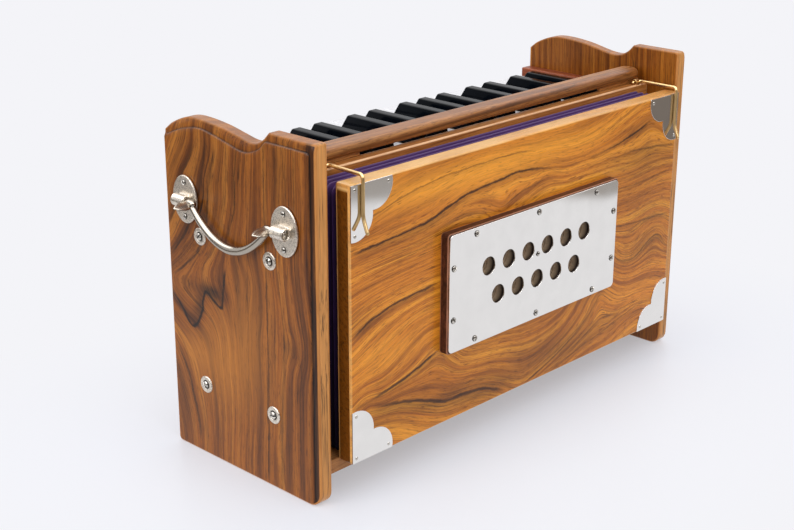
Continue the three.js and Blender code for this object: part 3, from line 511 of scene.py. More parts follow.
def piece(name, parts, body, stands_for=(), grain=None, sharp=38, marks=None):
    """Makes a mesh object from shells, each under the name of its finish, and puts it on its body. Edges
    sharper than the angle in degrees stay sharp."""
    points, faces, edge, index, start = [], [], [], [], 0
    for number, (p, f, e) in enumerate(parts.values()):
        points.append(p)
        edge.append(e)
        for group in f:
            faces += (np.asarray(group) + start).tolist()
            index += [number] * len(group)
        start += len(p)
    points, edge = np.concatenate(points), np.concatenate(edge)
    mesh = bpy.data.meshes.new(name)
    mesh.from_pydata(((points + np.array([0, SHIFT, 0])) * MM).tolist(), [], faces)
    for finish_name in parts:
        mesh.materials.append(finish(finish_name))
    mesh.polygons.foreach_set("material_index", index)
    mesh.shade_smooth()
    mesh.set_sharp_from_angle(angle=math.radians(sharp))
    stored = {"edge": edge, **(marks or {})}
    if grain is not None:
        stored["grain"] = grain(points)
    for key, values in stored.items():
        values = np.asarray(values, np.float32)
        kind, field = ("FLOAT", "value") if values.ndim == 1 else ("FLOAT_VECTOR", "vector")
        mesh.attributes.new(key, kind, "POINT").data.foreach_set(field, values.ravel())
    mesh.update()
    made = bpy.data.objects.new(name, mesh)
    bpy.context.scene.collection.objects.link(made)
    if body:
        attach(made, body)
    if stands_for:
        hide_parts(*stands_for)
    return made


# ---- Grain: along the fibres, into the wood, and across the growth rings, in metres


def straight_grain(along, seed):
    """Straight fibres along one axis, a little off true. The seed shifts each board to its own wood."""

    def grain(points):
        x, y, z = points.T * MM
        run, depth, across = {"x": (x, y, z), "y": (y, x, z), "z": (z, x, y)}[along]
        return np.stack([run + seed, depth + seed * 0.37, across + run * 0.02 + depth * 0.6 + seed * 0.11], 1)

    return grain


# ---- Materials






def wood(
    name, own, others, band=11, gloss=0.3, coat=0.2, source="grain", figure=False, worn=None, wall=None,
    bore=None, mouth=None,
):
    """Varnished wood from four tones: its own, and a light, a dark and a line tone that move with it by the
    same ratio. The band is the width of a growth ring in mm. The edge colour given is that of the rounded
    edges: wear, and a painted highlight along them. Wall is the colour of sawn edge faces, painted dark as
    shade on the pump board. Bore and mouth are those of drilled holes: the bore is painted pale as light deep
    inside, and the mouth near black as shade."""
    material, node = new_material(name)
    written = linear(COLOURS.get(own, own))
    moved = [picked / value for picked, value in zip(chosen(own), written)]
    tones = (written, *(linear(code) for code in others))
    middle, light, dark, line = ([v * m for v, m in zip(tone, moved)] for tone in tones)
    if source == "grain":
        place = node("Attribute", attribute_name="grain", output="Vector")
    else:
        place = node("TexCoord", output="Object")
    # Each layer's sizes in mm along the fibres, into the wood and across the rings, then its place, detail
    # and roughness. The pores of such wood are a tenth of a millimetre wide, too fine to show, and are
    # drawn half a millimetre wide.
    layers = {
        "bands": ((333, band / 0.3, band), 3.0, 3.0, 0.55),
        "fine": ((143, band / 1.5, band / 5), 7.0, 4.0, 0.65),
        "hair": ((77, 3.3, 2.4), 6.0, 3.0, 0.6),
        "fibres": ((22, 1.1, 0.67), 1.0, 2.0, 0.6),
        "pores": ((9, 0.83, 0.56), 5.0, 1.0, 0.5),
        "dashes": ((12.5, 2, 1.25), 4.0, 3.0, 0.7),
        "broken": ((143, 71, 17), 11.0, 2.0, 0.5),
        "ragged": ((14, 17, 5), 2.0, 5.0, 0.75),
        "flecks": ((56, 2.4, 2.4), 9.0, 3.0, 0.7),
        "patchy": ((33, 17, 17), 2.0, 3.0, 0.5),
    }
    unused = {"ragged": not figure, "flecks": not wall, "patchy": not worn}
    layer = {}
    for key, (sizes, offset, detail, roughness) in layers.items():
        if not unused.get(key):
            scales, start = [1000 / width for width in sizes], (offset, offset, 0)
            spread = node("Mapping", {"Vector": place, "Scale": scales, "Location": start})
            drawn = {"Vector": spread, "Scale": 1.0, "Detail": detail, "Roughness": roughness}
            layer[key] = node("TexNoise", drawn)
    base = node("ValToRGB", layer["bands"], stops=[(0.26, dark), (0.47, middle), (0.72, light)])
    # Dark streaks, hairs and short dashes, then pale streaks
    for key, stops, other in (
        ("fine", [(0.3, 0.5), (0.48, 0.0)], dark),
        ("hair", [(0.36, 0.5), (0.5, 0.0)], dark),
        ("dashes", [(0.33, 0.75), (0.45, 0.0)], dark),
        ("fine", [(0.54, 0.0), (0.74, 0.35)], light),
    ):
        base = node("Mix", node("ValToRGB", layer[key], stops=stops), base, other, **COLOUR_MIX)
    # Thin lines where the bands' value passes a seventh, broken here and there
    rings = node("Math", layer["fine"], 0.06, layer["bands"], operation="MULTIPLY_ADD")
    rings = node("Math", node("Math", rings, 7.0, operation="MULTIPLY"), operation="FRACT")
    stops = [(0.0, 1.0), (0.04, 0.8), (0.13, 0.1), (0.25, 0.0), (0.98, 0.0), (1.0, 1.0)]
    thin = node("ValToRGB", rings, stops=stops)
    broken = node("ValToRGB", layer["broken"], stops=[(0.44, 0.0), (0.66, 0.75)])
    base = node("Mix", node("Math", thin, broken, operation="MULTIPLY"), base, line, **COLOUR_MIX)
    if figure:
        # Clouds from the tables, dark above nought and light below it: figure, and painted light and shade
        cloud = node("Attribute", attribute_name="cloud", output="Fac")
        streaked = node("ValToRGB", layer["fine"], stops=[(0.3, 1.0), (0.62, 0.6)])
        for amount, other in ((streaked, line), (-1.0, light)):
            share = node("Math", cloud, amount, operation="MULTIPLY", use_clamp=True)
            base = node("Mix", share, base, other, **COLOUR_MIX)
        # Lines from the tables: a ragged dark core, and a softer fall on its lee side
        stroke = node("Attribute", attribute_name="stroke", output="Vector")
        parts = node("SeparateXYZ", stroke).node.outputs
        away = node("Math", parts[0], 2.5, operation="SUBTRACT")
        away = node("Math", layer["ragged"], 5.0, away, operation="MULTIPLY_ADD")
        shares = []
        core, fall = [(0.0, 1.0), (0.4, 0.85), (1.0, 0.0)], [(0.0, 0.0), (0.02, 0.4), (1.0, 0.0)]
        for wide, stops in ((1.2, core), (6.0, fall)):
            distance = node("Math", away, operation="ABSOLUTE") if wide < 2 else away
            reach = node("Math", parts[2], wide, operation="MULTIPLY")
            share = node("Math", distance, reach, operation="DIVIDE")
            shares.append(node("ValToRGB", share, stops=stops))
        both = node("Math", shares[0], shares[1], operation="MAXIMUM")
        both = node("Math", both, parts[1], operation="MULTIPLY", use_clamp=True)
        base = node("Mix", both, base, line, **COLOUR_MIX)
    for key, stops in (
        ("fibres", [(0.3, 0.8), (0.5, 1.0), (0.75, 1.08)]),
        ("pores", [(0.26, 0.55), (0.36, 1.0)]),
    ):
        shade = node("ValToRGB", layer[key], stops=stops)
        base = node("Mix", 1.0, base, shade, blend_type="MULTIPLY", **COLOUR_MIX)
    # The edge attribute: 1 on a rounded edge, 2 on the sawn face beyond it, 3 in a drilled hole, and 4 at
    # the hole's mouth
    rim = node("Attribute", attribute_name="edge", output="Fac")
    sawn = None
    if wall:
        plain = linear(wall)
        stops = [(0.34, scaled(plain, 0.35)), (0.47, plain), (0.7, scaled(plain, 1.35))]
        sawn = node("ValToRGB", layer["flecks"], stops=stops)
    # On the pump board the sawn faces' colour is painted shade; a hole's pale bore is painted light deep
    # inside, and its near black mouth painted shade
    for level, other in ((1.0, sawn), (2.0, bore and linear(bore)), (3.0, mouth and linear(mouth))):
        if other:
            share = node("Math", rim, level, operation="SUBTRACT", use_clamp=True)
            base = node("Mix", share, base, other, **COLOUR_MIX)
    # Wear, and a painted highlight, on the rounded edges
    if worn:
        wear_and_highlight_share = node("Math", rim, 1.0, operation="SUBTRACT")
        wear_and_highlight_share = node("Math", 1.0, node("Math", wear_and_highlight_share, operation="ABSOLUTE"), operation="SUBTRACT")
        patchy = node("ValToRGB", layer["patchy"], stops=[(0.3, 0.55), (0.6, 1.0)])
        wear_and_highlight_share = node("Math", wear_and_highlight_share, patchy, operation="MULTIPLY", use_clamp=True)
        base = node("Mix", wear_and_highlight_share, base, linear(worn), **COLOUR_MIX)
    rough = node("ValToRGB", layer["fibres"], stops=[(0.3, gloss + 0.12), (0.7, gloss)])
    height = node("Math", layer["pores"], 0.7, layer["fibres"], operation="MULTIPLY_ADD")
    bump = node("Bump", {"Height": height, "Strength": 0.2, "Distance": 0.0002})
    varnish = {"Coat Weight": coat, "Coat Roughness": 0.3, "IOR": 1.5, "Specular IOR Level": 0.18}
    inputs = {"Base Color": base, "Roughness": rough, "Normal": bump, **varnish}
    return finish_material(material, node, inputs)


def metal(name, own, roughness, grain_size=0.3, bump=0.0, variation=0.1, slot_and_rim_shade=False, specks=0.0):
    """Metal: its colour tints every reflection, and fine marks of the grain size in mm widen the highlights.
    Specks are pits where the plate has gone, a millimetre across. Painted shade, near black, sits where the
    edge attribute is set: in a screw's slot and round its foot."""
    material, node = new_material(name)
    colour = chosen(own)
    place = node("TexCoord", output="Object")
    cloudy = node("TexNoise", {"Vector": place, "Scale": 1 / (17 * MM), "Detail": 3.0})
    tint = node("ValToRGB", cloudy, stops=[(0.3, scaled(colour, 1 - variation)), (0.7, colour)])
    if specks:
        pits = node("TexNoise", {"Vector": place, "Scale": 1 / (1.1 * MM), "Detail": 2.0, "Roughness": 0.6})
        spots = node("ValToRGB", pits, stops=[(0.36, specks), (0.52, 0.0)])
        tint = node("Mix", spots, tint, scaled(colour, 0.35), **COLOUR_MIX)
    # Painted shade in a screw's slot and round its rim
    if slot_and_rim_shade:
        shade_share = node("Attribute", attribute_name="edge", output="Fac")
        shade_share = node("Math", shade_share, 0.9, operation="MULTIPLY", use_clamp=True)
        tint = node("Mix", shade_share, tint, linear("#1c1815"), **COLOUR_MIX)
    rough = node("ValToRGB", cloudy, stops=[(0.3, roughness * 1.35), (0.7, roughness * 0.8)])
    inputs = {"Base Color": tint, "Metallic": 1.0, "Roughness": rough}
    if bump:
        fine = node("TexNoise", {"Vector": place, "Scale": 1 / (grain_size * MM), "Detail": 2.0})
        inputs["Normal"] = node("Bump", {"Height": fine, "Strength": bump, "Distance": 0.0001})
    return finish_material(material, node, inputs)


def key_plastic(name, own, roughness, coat, shine=0.25):
    """Polished cast plastic: an even colour, finger marks 11 mm across in its gloss, and waves of 6 mm."""
    material, node = new_material(name)
    colour = chosen(own)
    place = node("TexCoord", output="Object")
    smear = node("TexNoise", {"Vector": place, "Scale": 1 / (11 * MM), "Detail": 3.0, "Roughness": 0.6})
    tint = node("ValToRGB", smear, stops=[(0.3, scaled(colour, 0.975)), (0.7, colour)])
    rough = node("ValToRGB", smear, stops=[(0.35, roughness * 1.2), (0.65, roughness)])
    wave = node("TexNoise", {"Vector": place, "Scale": 1 / (6 * MM), "Detail": 1.0})
    bump = node("Bump", {"Height": wave, "Strength": 0.08, "Distance": 0.0003})
    gloss = {"Specular IOR Level": shine, "Coat Weight": coat, "Coat Roughness": 0.08}
    return finish_material(material, node, {"Base Color": tint, "Roughness": rough, "Normal": bump, **gloss})


def cloth(name, own):
    """Woven cotton glued over card. Its threads are half a millimetre apart, too fine to show, and are
    drawn at 0.8 mm: two crossed waves times a third. The edge attribute paints a highlight on a crease, and
    shade, nearly black, on the cloth down in the gap where it is below nought."""
    material, node = new_material(name)
    colour = chosen(own)
    place = node("TexCoord", output="Object")
    scale = 2 * math.pi / (20 * 0.8 * MM)
    weave = [
        node("TexWave",
            {"Vector": place, "Scale": scale, "Distortion": 0.4, "Detail": 1.0},
            output="Fac",
            wave_type="BANDS",
            bands_direction=direction,
        )
        for direction in ("X", "Y", "Z")
    ]
    crossed = node("Math", weave[0], weave[1], operation="ADD")
    crossed = node("Math", crossed, weave[2], operation="MULTIPLY")
    cloud = node("TexNoise", {"Vector": place, "Scale": 1 / (22 * MM), "Detail": 3.0})
    tint = node("ValToRGB", cloud, stops=[(0.3, scaled(colour, 0.7)), (0.7, colour)])
    rim = node("Attribute", attribute_name="edge", output="Fac")
    # Painted highlight on the creases, and painted shade down in the gap
    for amount, other in ((0.85, [v * 1.7 + 0.13 for v in colour]), (-1.0, (0.002, 0.001, 0.002))):
        share = node("Math", rim, amount, operation="MULTIPLY", use_clamp=True)
        tint = node("Mix", share, tint, other, **COLOUR_MIX)
    bump = node("Bump", {"Height": crossed, "Strength": 0.35, "Distance": 0.0002})
    nap = {"Specular IOR Level": 0.12, "Sheen Weight": 0.08, "Sheen Roughness": 0.4}
    return finish_material(material, node, {"Base Color": tint, "Roughness": 0.85, "Normal": bump, **nap})


def leather(name, own):
    """Thin suede: a nap 0.7 mm across, clouds of colour 14 mm across, and no gloss."""
    material, node = new_material(name)
    colour = chosen(own)
    place = node("TexCoord", output="Object")
    nap = node("TexNoise", {"Vector": place, "Scale": 1 / (0.7 * MM), "Detail": 3.0, "Roughness": 0.7})
    cloud = node("TexNoise", {"Vector": place, "Scale": 1 / (14 * MM), "Detail": 3.0})
    tint = node("ValToRGB", cloud, stops=[(0.3, scaled(colour, 0.75)), (0.7, colour)])
    bump = node("Bump", {"Height": nap, "Strength": 0.4, "Distance": 0.0003})
    inputs = {"Base Color": tint, "Roughness": 0.9, "Normal": bump, "Sheen Weight": 0.2}
    return finish_material(material, node, inputs)


FINISHES = dict(
    # Brown varnish over a wild figure: dark lines sweep down the cheek, and its moulding is darker still with
    # painted shade; its clouds also paint light and shade, and its rounded edges show wear and painted
    # highlight
    cheek_wood=lambda: wood(
        "varnished_figured_cheek_wood", "cheek", ("#bc7628", "#512609", "#180a05"), band=8, coat=0.22,
        figure=True, worn="#bd7d3f", wall="#b97f42",
    ),
    # Golden varnish with long dark lines, and clouds that also paint light and shade; a pale upper edge of
    # wear and painted highlight; sawn edge faces painted dark as shade; raw wood in the drilled holes,
    # painted pale as light deep inside
    board_wood=lambda: wood(
        "varnished_golden_board_wood", "board", ("#f0a030", "#854514", "#261007"), band=9, gloss=0.25,
        figure=True, worn="#f0c07a", wall="#6e3d0e", bore="#c8b094",
    ),
    # Orange wood whose straight fine grain ends in a pale line along the ledge: wear and a painted highlight
    # on its rounded edges
    frame_wood=lambda: wood(
        "varnished_orange_frame_wood", "frame", ("#dda465", "#98582a", "#5a3018"), band=7, worn="#eebf90"
    ),
    # Duller brown wood of the boards that are seldom seen
    case_wood=lambda: wood(
        "satin_brown_case_wood", "case", ("#b98350", "#7d4c28", "#4a2a18"), band=9, gloss=0.45, coat=0.1
    ),
    # Handled wood: a narrow grain with dark dirt in it, and a soft light strip along its round top
    rail_wood=lambda: wood(
        "worn_brown_rail_wood", "rail", ("#bc8248", "#56300f", "#221006"), band=3.4, gloss=0.34, coat=0.3
    ),
    # Redder, closer wood of the end blocks and the stops' slides
    block_wood=lambda: wood(
        "reddish_block_wood", "block", ("#a35a38", "#6a301d", "#3c1a10"), band=8, gloss=0.38
    ),
    # Thin layers one over another: their edges stripe the block's sides and rim its holes; in the holes the
    # mouth is painted near black as shade, and the bore pale as light deep inside
    ply_wood=lambda: wood(
        "layered_block_wood", "#4c281a", ("#6a3c28", "#2c1610", "#1a0c08"), band=2, gloss=0.4, worn="#b07a5c",
        bore="#c8b094", mouth="#1c100b",
    ),
    # Pale unvarnished wood, dry to look at, under the keys' caps
    lever_wood=lambda: wood(
        "pale_key_lever_wood", "#caa973", ("#dcc08e", "#a98755", "#7d5f3a"), band=6, gloss=0.5, coat=0.0
    ),
    # Plain dry wood inside the case
    inner_wood=lambda: wood(
        "plain_inner_wood", "#aa7d4c", ("#c39a66", "#886036", "#5a3c22"), source="object", gloss=0.5, coat=0.0
    ),
    # Cool white with a clear gloss and faint finger marks
    white_key=lambda: key_plastic("polished_white_key_plastic", "white_key", 0.2, 0.3),
    # Near black with a cool cast that paints in the bluish reflection of its tops: only its edges catch the
    # light
    black_key=lambda: key_plastic("polished_black_key_plastic", "black_key", 0.09, 0.03, 0.06),
    # Cast and plated by hand: a warm grey that sparkles at its pits and never mirrors
    nickel=lambda: metal("satin_nickel_plate", "nickel", 0.4, grain_size=0.9, bump=0.7, specks=0.7),
    # Rolled and buffed sheet: a mirror that shows the room, white to dark
    polished=lambda: metal("polished_steel_sheet", "sheet", 0.06, variation=0.04),
    # Turned heads with a small sharp highlight, and painted shade, near black, in the slot and round the rim
    screw_steel=lambda: metal("bright_screw_steel", "#cfcac3", 0.18, bump=0.05, slot_and_rim_shade=True),
    # Plate rubbed by the hand: long soft highlights along the bail
    bail_nickel=lambda: metal("rubbed_nickel_bail", "bail", 0.2, grain_size=0.9, bump=0.14),
    # Drawn wire: a pale gold with a narrow highlight that runs its length
    brass=lambda: metal("drawn_brass_wire", "brass", 0.36, bump=0.08),
    # Drawn wire, grey and a little dull
    spring_steel=lambda: metal("drawn_spring_steel", "#a8a8a8", 0.32, bump=0.08),
    # Dull grey seen behind the holes
    flap_leather=lambda: leather("grey_suede_flap_leather", "leather"),
    # The same hide, undyed, under the keys
    pallet_leather=lambda: leather("pale_pallet_leather", "#cdbb9c"),
    # Dull purple cloth with creases painted with highlight, and painted shade, nearly black, down in the gap
    bellows_cloth=lambda: cloth("purple_bellows_cotton", "cloth"),
    # Dark brown lacquer with a round soft highlight
    dark_knob=lambda: key_plastic("dark_turned_knob_lacquer", "knob", 0.3, 0.4),
)


@cache
def finish(name):
    """A finish by name, made the first time that a piece asks for it."""
    return FINISHES[name]()


# ---- Figure: dark lines of the wood. Each has a level across straight fibres, a width, a strength,
# whether the fibres follow it, and its points along the face


CHEEK_LINES = [
    (-58, 1.6, 0.7, True, [(-88, 190), (-76, 212), (-66, 239), (-53, 259), (-48, 272)]),
    (-42, 1.8, 0.75, True, [(-86, 166), (-66, 190), (-53, 212), (-44, 233), (-37, 259), (-35, 279)]),
    (-29, 1.5, 0.8, True, [(-84, 151), (-66, 164), (-48, 182), (-38, 206), (-33, 239), (-22, 270)]),
    (-15, 1.1, 0.6, True, [(-42, 170), (-30, 185), (-20, 204), (-13, 232), (-10, 276)]),
    (-2, 1.0, 0.95, True, [(-15, 178), (-11, 200), (-3, 225), (-1, 250), (3, 279)]),
    (8, 0.9, 0.35, True, [(12, 268), (10, 170), (7, 80), (4, 2)]),
    (31, 1.1, 0.7, True, [(33, 288), (32, 220), (32, 120), (29, 30), (28, 2)]),
    (45, 1.5, 0.8, True, [(45, 288), (44, 190), (50, 150), (51, 132), (50, 108), (46, 60), (45, 2)]),
    (
        53, 1.0, 0.45, True,
        [(55, 288), (53, 190), (57, 146), (62, 134), (63, 122), (57, 112), (54, 60), (53, 2)],
    ),
    (68, 1.0, 0.5, True, [(66, 288), (65, 190), (71, 150), (74, 128), (69, 104), (67, 50), (67, 2)]),
    (-62, 1.8, 0.75, True, [(-84, 92), (-70, 70), (-64, 50), (-59, 32), (-57, 8)]),
    (-30, 0.8, 0.2, True, [(-36, 112), (-30, 60), (-31, 4)]),
    (-1, 0.8, 0.2, True, [(-8, 150), (-4, 90), (-6, 4)]),
    (
        0, 1.8, 1.0, False,
        [
            (-88, 138), (-73, 124), (-62, 112), (-55, 116), (-48, 127), (-46, 138), (-42, 147), (-33, 142),
            (-24, 137), (-22, 141), (-19, 160), (-15, 178), (-10, 190),
        ],
    ),
]
# Clouds of the cheek, each with its centre, two spreads and strength. The dark ones are figure, and on the
# upper part also painted shade; the light ones are painted light on the lower and middle part.
CHEEK_CLOUDS_OF_FIGURE_LIGHT_AND_SHADE = [
    (-34, 148, 13, 6, 1.3),
    (-50, 132, 5, 9, 0.9),
    (-58, 122, 7, 9, 0.6),
    (-62, 146, 20, 7, 0.35),
    (-62, 222, 30, 50, 0.36),
    (-76, 45, 12, 40, 0.45),
    (-25, 250, 26, 36, 0.3),
    (48, 262, 9, 36, 0.35),
    (59, 125, 6, 7, 0.5),
    (50, 60, 5, 60, 0.25),
    (70, 150, 10, 150, 0.2),
    (-22, 90, 34, 40, -0.55),
    (10, 130, 20, 50, -0.35),
    (-60, 88, 16, 18, -0.4),
]
BOARD_LINES = [
    (241, 0.8, 0.5, True, [(196, 226), (184, 230), (163, 236), (136, 241), (91, 245), (31, 246), (-2, 244)]),
    (
        221, 1.3, 0.95, True,
        [
            (211, 205), (181, 207), (151, 209), (124, 212), (100, 219), (79, 224), (43, 227), (19, 229),
            (-11, 226), (-44, 221), (-77, 221), (-113, 225), (-143, 231), (-170, 239),
        ],
    ),
    (213, 1.2, 0.55, True, [(38, 203), (7, 212), (-29, 217), (-74, 214), (-149, 215), (-209, 209)]),
    (150, 1.5, 0.9, True, [(211, 137), (193, 146), (172, 152), (151, 155), (112, 158)]),
    (184, 1.0, 0.45, True, [(-112, 184), (-150, 183), (-209, 186)]),
    (146, 1.1, 0.55, True, [(-112, 149), (-150, 146), (-209, 143)]),
    (
        117, 1.1, 0.6, True,
        [(-116, 126), (-130, 116), (-142, 111), (-158, 112), (-176, 121), (-191, 125), (-205, 112)],
    ),
    (88, 1.6, 0.95, True, [(209, 78), (181, 82), (154, 87), (136, 92), (110, 101)]),
    (60, 1.8, 0.85, True, [(192, 74), (160, 69), (136, 63), (106, 52), (76, 50), (52, 46), (28, 36)]),
    (66, 0.8, 0.55, True, [(4, 34), (-29, 43), (-59, 55), (-89, 73), (-106, 90)]),
    (54, 0.8, 0.5, True, [(-30, 34), (-59, 40), (-119, 52), (-166, 62)]),
    (100, 0.7, 0.25, True, [(80, 92), (30, 84), (-12, 80), (-50, 88)]),
    (0, 0.8, 0.7, False, [(-8, 80), (-12, 76), (-17, 77), (-20, 81)]),
]
# Clouds of the pump board, with the same columns. The dark ones are figure, and towards the bass end and the
# bottom also painted shade; the broad light band along the top is painted light.
BOARD_CLOUDS_OF_FIGURE_LIGHT_AND_SHADE = [
    (104, 55, 30, 5, 0.6),
    (60, 45, 40, 8, 0.35),
    (200, 146, 22, 12, 0.35),
    (-145, 236, 40, 8, 0.35),
    (-60, 50, 70, 12, 0.25),
    (-178, 118, 24, 10, 0.3),
    (150, 62, 40, 10, 0.3),
    (-165, 160, 50, 80, 0.32),
    (-160, 205, 60, 12, 0.35),
    (-10, 58, 120, 28, 0.5),
    (150, 100, 40, 30, 0.25),
    (190, 60, 30, 30, 0.25),
    (130, 205, 70, 12, 0.25),
    (160, 190, 60, 14, 0.12),
    (70, 240, 170, 14, -0.75),
    (165, 112, 45, 16, -0.5),
    (-150, 80, 50, 14, -0.3),
]


def bent(lines, across):
    """The shift that makes straight fibres run along the lines: a thin-plate surface, the sum of squared
    distance times its logarithm, through each line's own shift from its level."""
    knots = np.concatenate([np.array(points, float) for _, _, _, follows, points in lines if follows])
    aims = [level - np.array(points, float)[:, across] for level, _, _, follows, points in lines if follows]

    def kernel(first, second):
        """Squared distance, in tenths of a metre, times its logarithm."""
        square = ((first[:, None] - second[None]) ** 2).sum(2) / 1e4
        return square * np.log(square + 1e-9)

    def plane(spots):
        return np.column_stack([np.ones(len(spots)), spots / 100])

    count, tail = len(knots), plane(knots)
    system = np.zeros((count + 3, count + 3))
    system[:count, :count] = kernel(knots, knots) + 0.01 * np.eye(count)
    system[:count, count:], system[count:, :count] = tail, tail.T
    weights = np.linalg.solve(system, np.concatenate([*aims, np.zeros(3)]))
    return lambda spots: kernel(spots, knots) @ weights[:count] + plane(spots) @ weights[count:]


def no_strokes(count, width=1.0):
    """Spots far from every line, for the distance, strength and width that strokes gives."""
    return np.tile([99.0, 0.0, width], (count, 1))


def strokes(lines, spots):
    """For each spot the signed distance to the nearest line, the line's strength there, and its width. The
    strength tapers to nothing at a line's ends and midway to the next line."""
    found = no_strokes(len(spots))
    second = found[:, 0].copy()
    for _, width, strength, _, points in lines:
        path = through(points, 4)
        run = np.concatenate([[0], np.cumsum(np.linalg.norm(np.diff(path, axis=0), axis=1))])
        own = no_strokes(len(spots), width)
        for start, (along, away, turned) in zip(run, stretches(path, spots)):
            place = start + along
            taper = np.clip(np.minimum(place, run[-1] - place) / 12, 0, 1)
            closer = away < np.abs(own[:, 0])
            side = np.where(turned < 0, -1.0, 1.0)
            own[closer, :2] = np.stack([side * away, strength * taper], 1)[closer]
        nearer = np.abs(own[:, 0]) < np.abs(found[:, 0])
        second = np.minimum(second, np.abs(np.where(nearer, found[:, 0], own[:, 0])))
        found[nearer] = own[nearer]
    found[:, 1] *= np.clip((second - np.abs(found[:, 0])) / 11, 0, 1) ** 1.5
    return found


def clouds(table, spots):
    """Soft clouds, dark where the strength is above nought and light below it, for the figure and for painted
    light and shade: the sum of bell curves, each with its centre, its two spreads and its strength.
    """
    total = 0
    for u, v, spread_u, spread_v, amount in table:
        total = total + amount * np.exp(-(((spots - (u, v)) / (spread_u, spread_v)) ** 2).sum(1))
    return total


# ---- Cheeks


# The scroll from the player's edge to the flat top, in shares of the depth and of the rise
SCROLL_SHARES = np.array(
    [
        (0, 0.41), (0.059, 0.64), (0.156, 0.845), (0.248, 0.884), (0.385, 0.825), (0.489, 0.725),
        (0.5745, 0.647), (0.632, 0.675), (0.678, 0.81), (0.712, 1),
    ]
)
# The routed line under the scroll and down the bellows edge
MOULD_LINE = [
    (-92, 263.5), (-76, 271), (-59.8, 276.7), (-42.7, 279.5), (-24.4, 276.9), (-8, 273.4), (4.1, 270.9),
    (14.7, 271.1), (27, 275.9), (34.2, 282.6),
]


def cheek_outline():
    """A cheek from the side: the scroll is a smooth curve through its points, and the other corners are
    quarter circles."""
    rise = 32.0
    ledge = CHEEK_TOP - rise
    scroll = through(SCROLL_SHARES * (DEPTH, rise) + (FRONT, ledge), 5)
    quarter = np.linspace(0, np.pi / 2, 7)
    foot = np.stack([BACK - 11 + 11 * np.sin(quarter), 11 - 11 * np.cos(quarter)], 1)
    toe = np.stack([FRONT + 4 - 4 * np.sin(quarter), 4 - 4 * np.cos(quarter)], 1)[::-1]
    crown = np.stack([BACK - 2.4 + 2.4 * np.cos(quarter), CHEEK_TOP - 2.4 + 2.4 * np.sin(quarter)], 1)
    return spaced_loop(np.concatenate([foot, crown, scroll[::-1], toe]), 3.0)


def moulding():
    """The line that the moulding follows, and its depth as a function of the distance past it: a smooth
    step, then a quarter ellipse that falls towards the edge."""
    level = [(36, 283.3), (50, 283.3), (65, 283.3), (79.5, 283.3), (80.8, 282)]
    down = np.stack([np.full(60, 80.8), np.linspace(278, -6, 60)], 1)
    line = np.concatenate([through(MOULD_LINE, 5), level, down])
    step, run, fall, width = size("moulding_step"), 1.3, size("moulding_fall"), 7.0
    normals = left_normals(line, closed=False)

    def past_line(flat):
        """Distance to the nearest stretch of the line, and nought on its inner side."""
        best, side = np.full(len(flat), np.inf), np.zeros(len(flat))
        for _, away, turned in stretches(line, flat):
            closer = away < best - 1e-9
            best, side = np.where(closer, away, best), np.where(closer, np.sign(turned), side)
        return np.where(side > 0, best, 0.0)

    def relief(flat):
        past = past_line(flat)
        down = np.clip(past / run, 0, 1)
        share = np.clip((past - run) / width, 0, 1)
        return step * down**2 * (3 - 2 * down) + fall * (1 - np.sqrt(1 - share**2 * 0.98))

    def groove_shade(flat):
        """Painted shade: a dark line in the step, and a darker band beside the bellows."""
        past = past_line(flat)
        step_shade = 0.75 * np.exp(-(((past - 1.1) / 0.7) ** 2)) * (past > 0)
        return step_shade + 0.95 * np.clip(past / 2, 0, 1) * (flat[:, 0] > 78)

    lines = [(line + normals * out, False) for out in (0.0, 0.35, 0.7, 1.0, 1.3, 2.0, 3.0, 4.2, 5.4)]
    return relief, groove_shade, lines


def build_cheeks():
    """Each cheek is a slab cut to the outline and sunk by the moulding. Its fibres are bent along the dark
    lines on the treble side, and run in long waves on the bass side."""
    relief, groove_shade, lines = moulding()
    shift = bent(CHEEK_LINES, 0)
    rounding = size("cheek_rounding")
    for name, side in SIDES:
        points, faces, edge = slab([cheek_outline()], INNER, OUTER, rounding, "x", lines, 4.0, relief)
        x, y, z = points.T
        spots = points[:, 1:]
        # The scroll's edges take only a little of the edge colour of wear and painted highlight, and no sawn
        # colour
        edge[(edge >= 1) & (z > CHEEK_TOP - 34) & (y < BACK - 3)] = 0.35
        if side > 0:
            stroke, cloud = strokes(CHEEK_LINES, spots), clouds(CHEEK_CLOUDS_OF_FIGURE_LIGHT_AND_SHADE, spots)
            across = y + shift(spots)
        else:
            stroke, cloud = no_strokes(len(points)), np.zeros(len(points))
            across = y * 1.6 + 3 * np.sin(z / 45) + 260
        # Painted shade in the moulding's step and on its band beside the bellows
        cloud = cloud + np.where(x > OUTER - 4, groove_shade(spots), 0) * (edge < 1)
        grain = np.stack([z, x, across + (x - OUTER) * 0.5], 1) * MM
        marks = {"stroke": stroke, "cloud": cloud, "grain": grain}
        made = {"cheek_wood": shell(points * (side, 1, 1), faces, edge)}
        piece(f"cheek_{name}_board", made, "case", [f"cheek_{name}"], marks=marks)
        places = [(y, z) for z in (192.0, 64.0) for y in (-46.1, 36.9)]
        axis = (side, 0, 0)
        sets = [cup_screw((side * OUTER, y, z), axis, 0.4 + y * 0.01 + z * 0.013) for y, z in places]
        washers, heads = zip(*sets)
        made = {"nickel": merged(washers), "screw_steel": merged(heads)}
        piece(f"cheek_{name}_screws", made, "case", sharp=45)


def cup_screw(foot, axis, angle):
    """A cup washer and the slotted oval head that sits in it."""
    rim = size("washer")
    washer = [
        (rim, -0.2), (rim, 0.5), (rim - 0.3, 0.9), (rim - 1, 1.1), (5.2, 1.25), (4.3, 1.2), (3.8, 0.8),
        (3.6, -0.2),
    ]
    head = screw_head(foot, axis, 3.55, 2.9, 0.5, angle, (0.7, 0.9))
    return lathe(washer, foot, axis, 40, closed=True), head


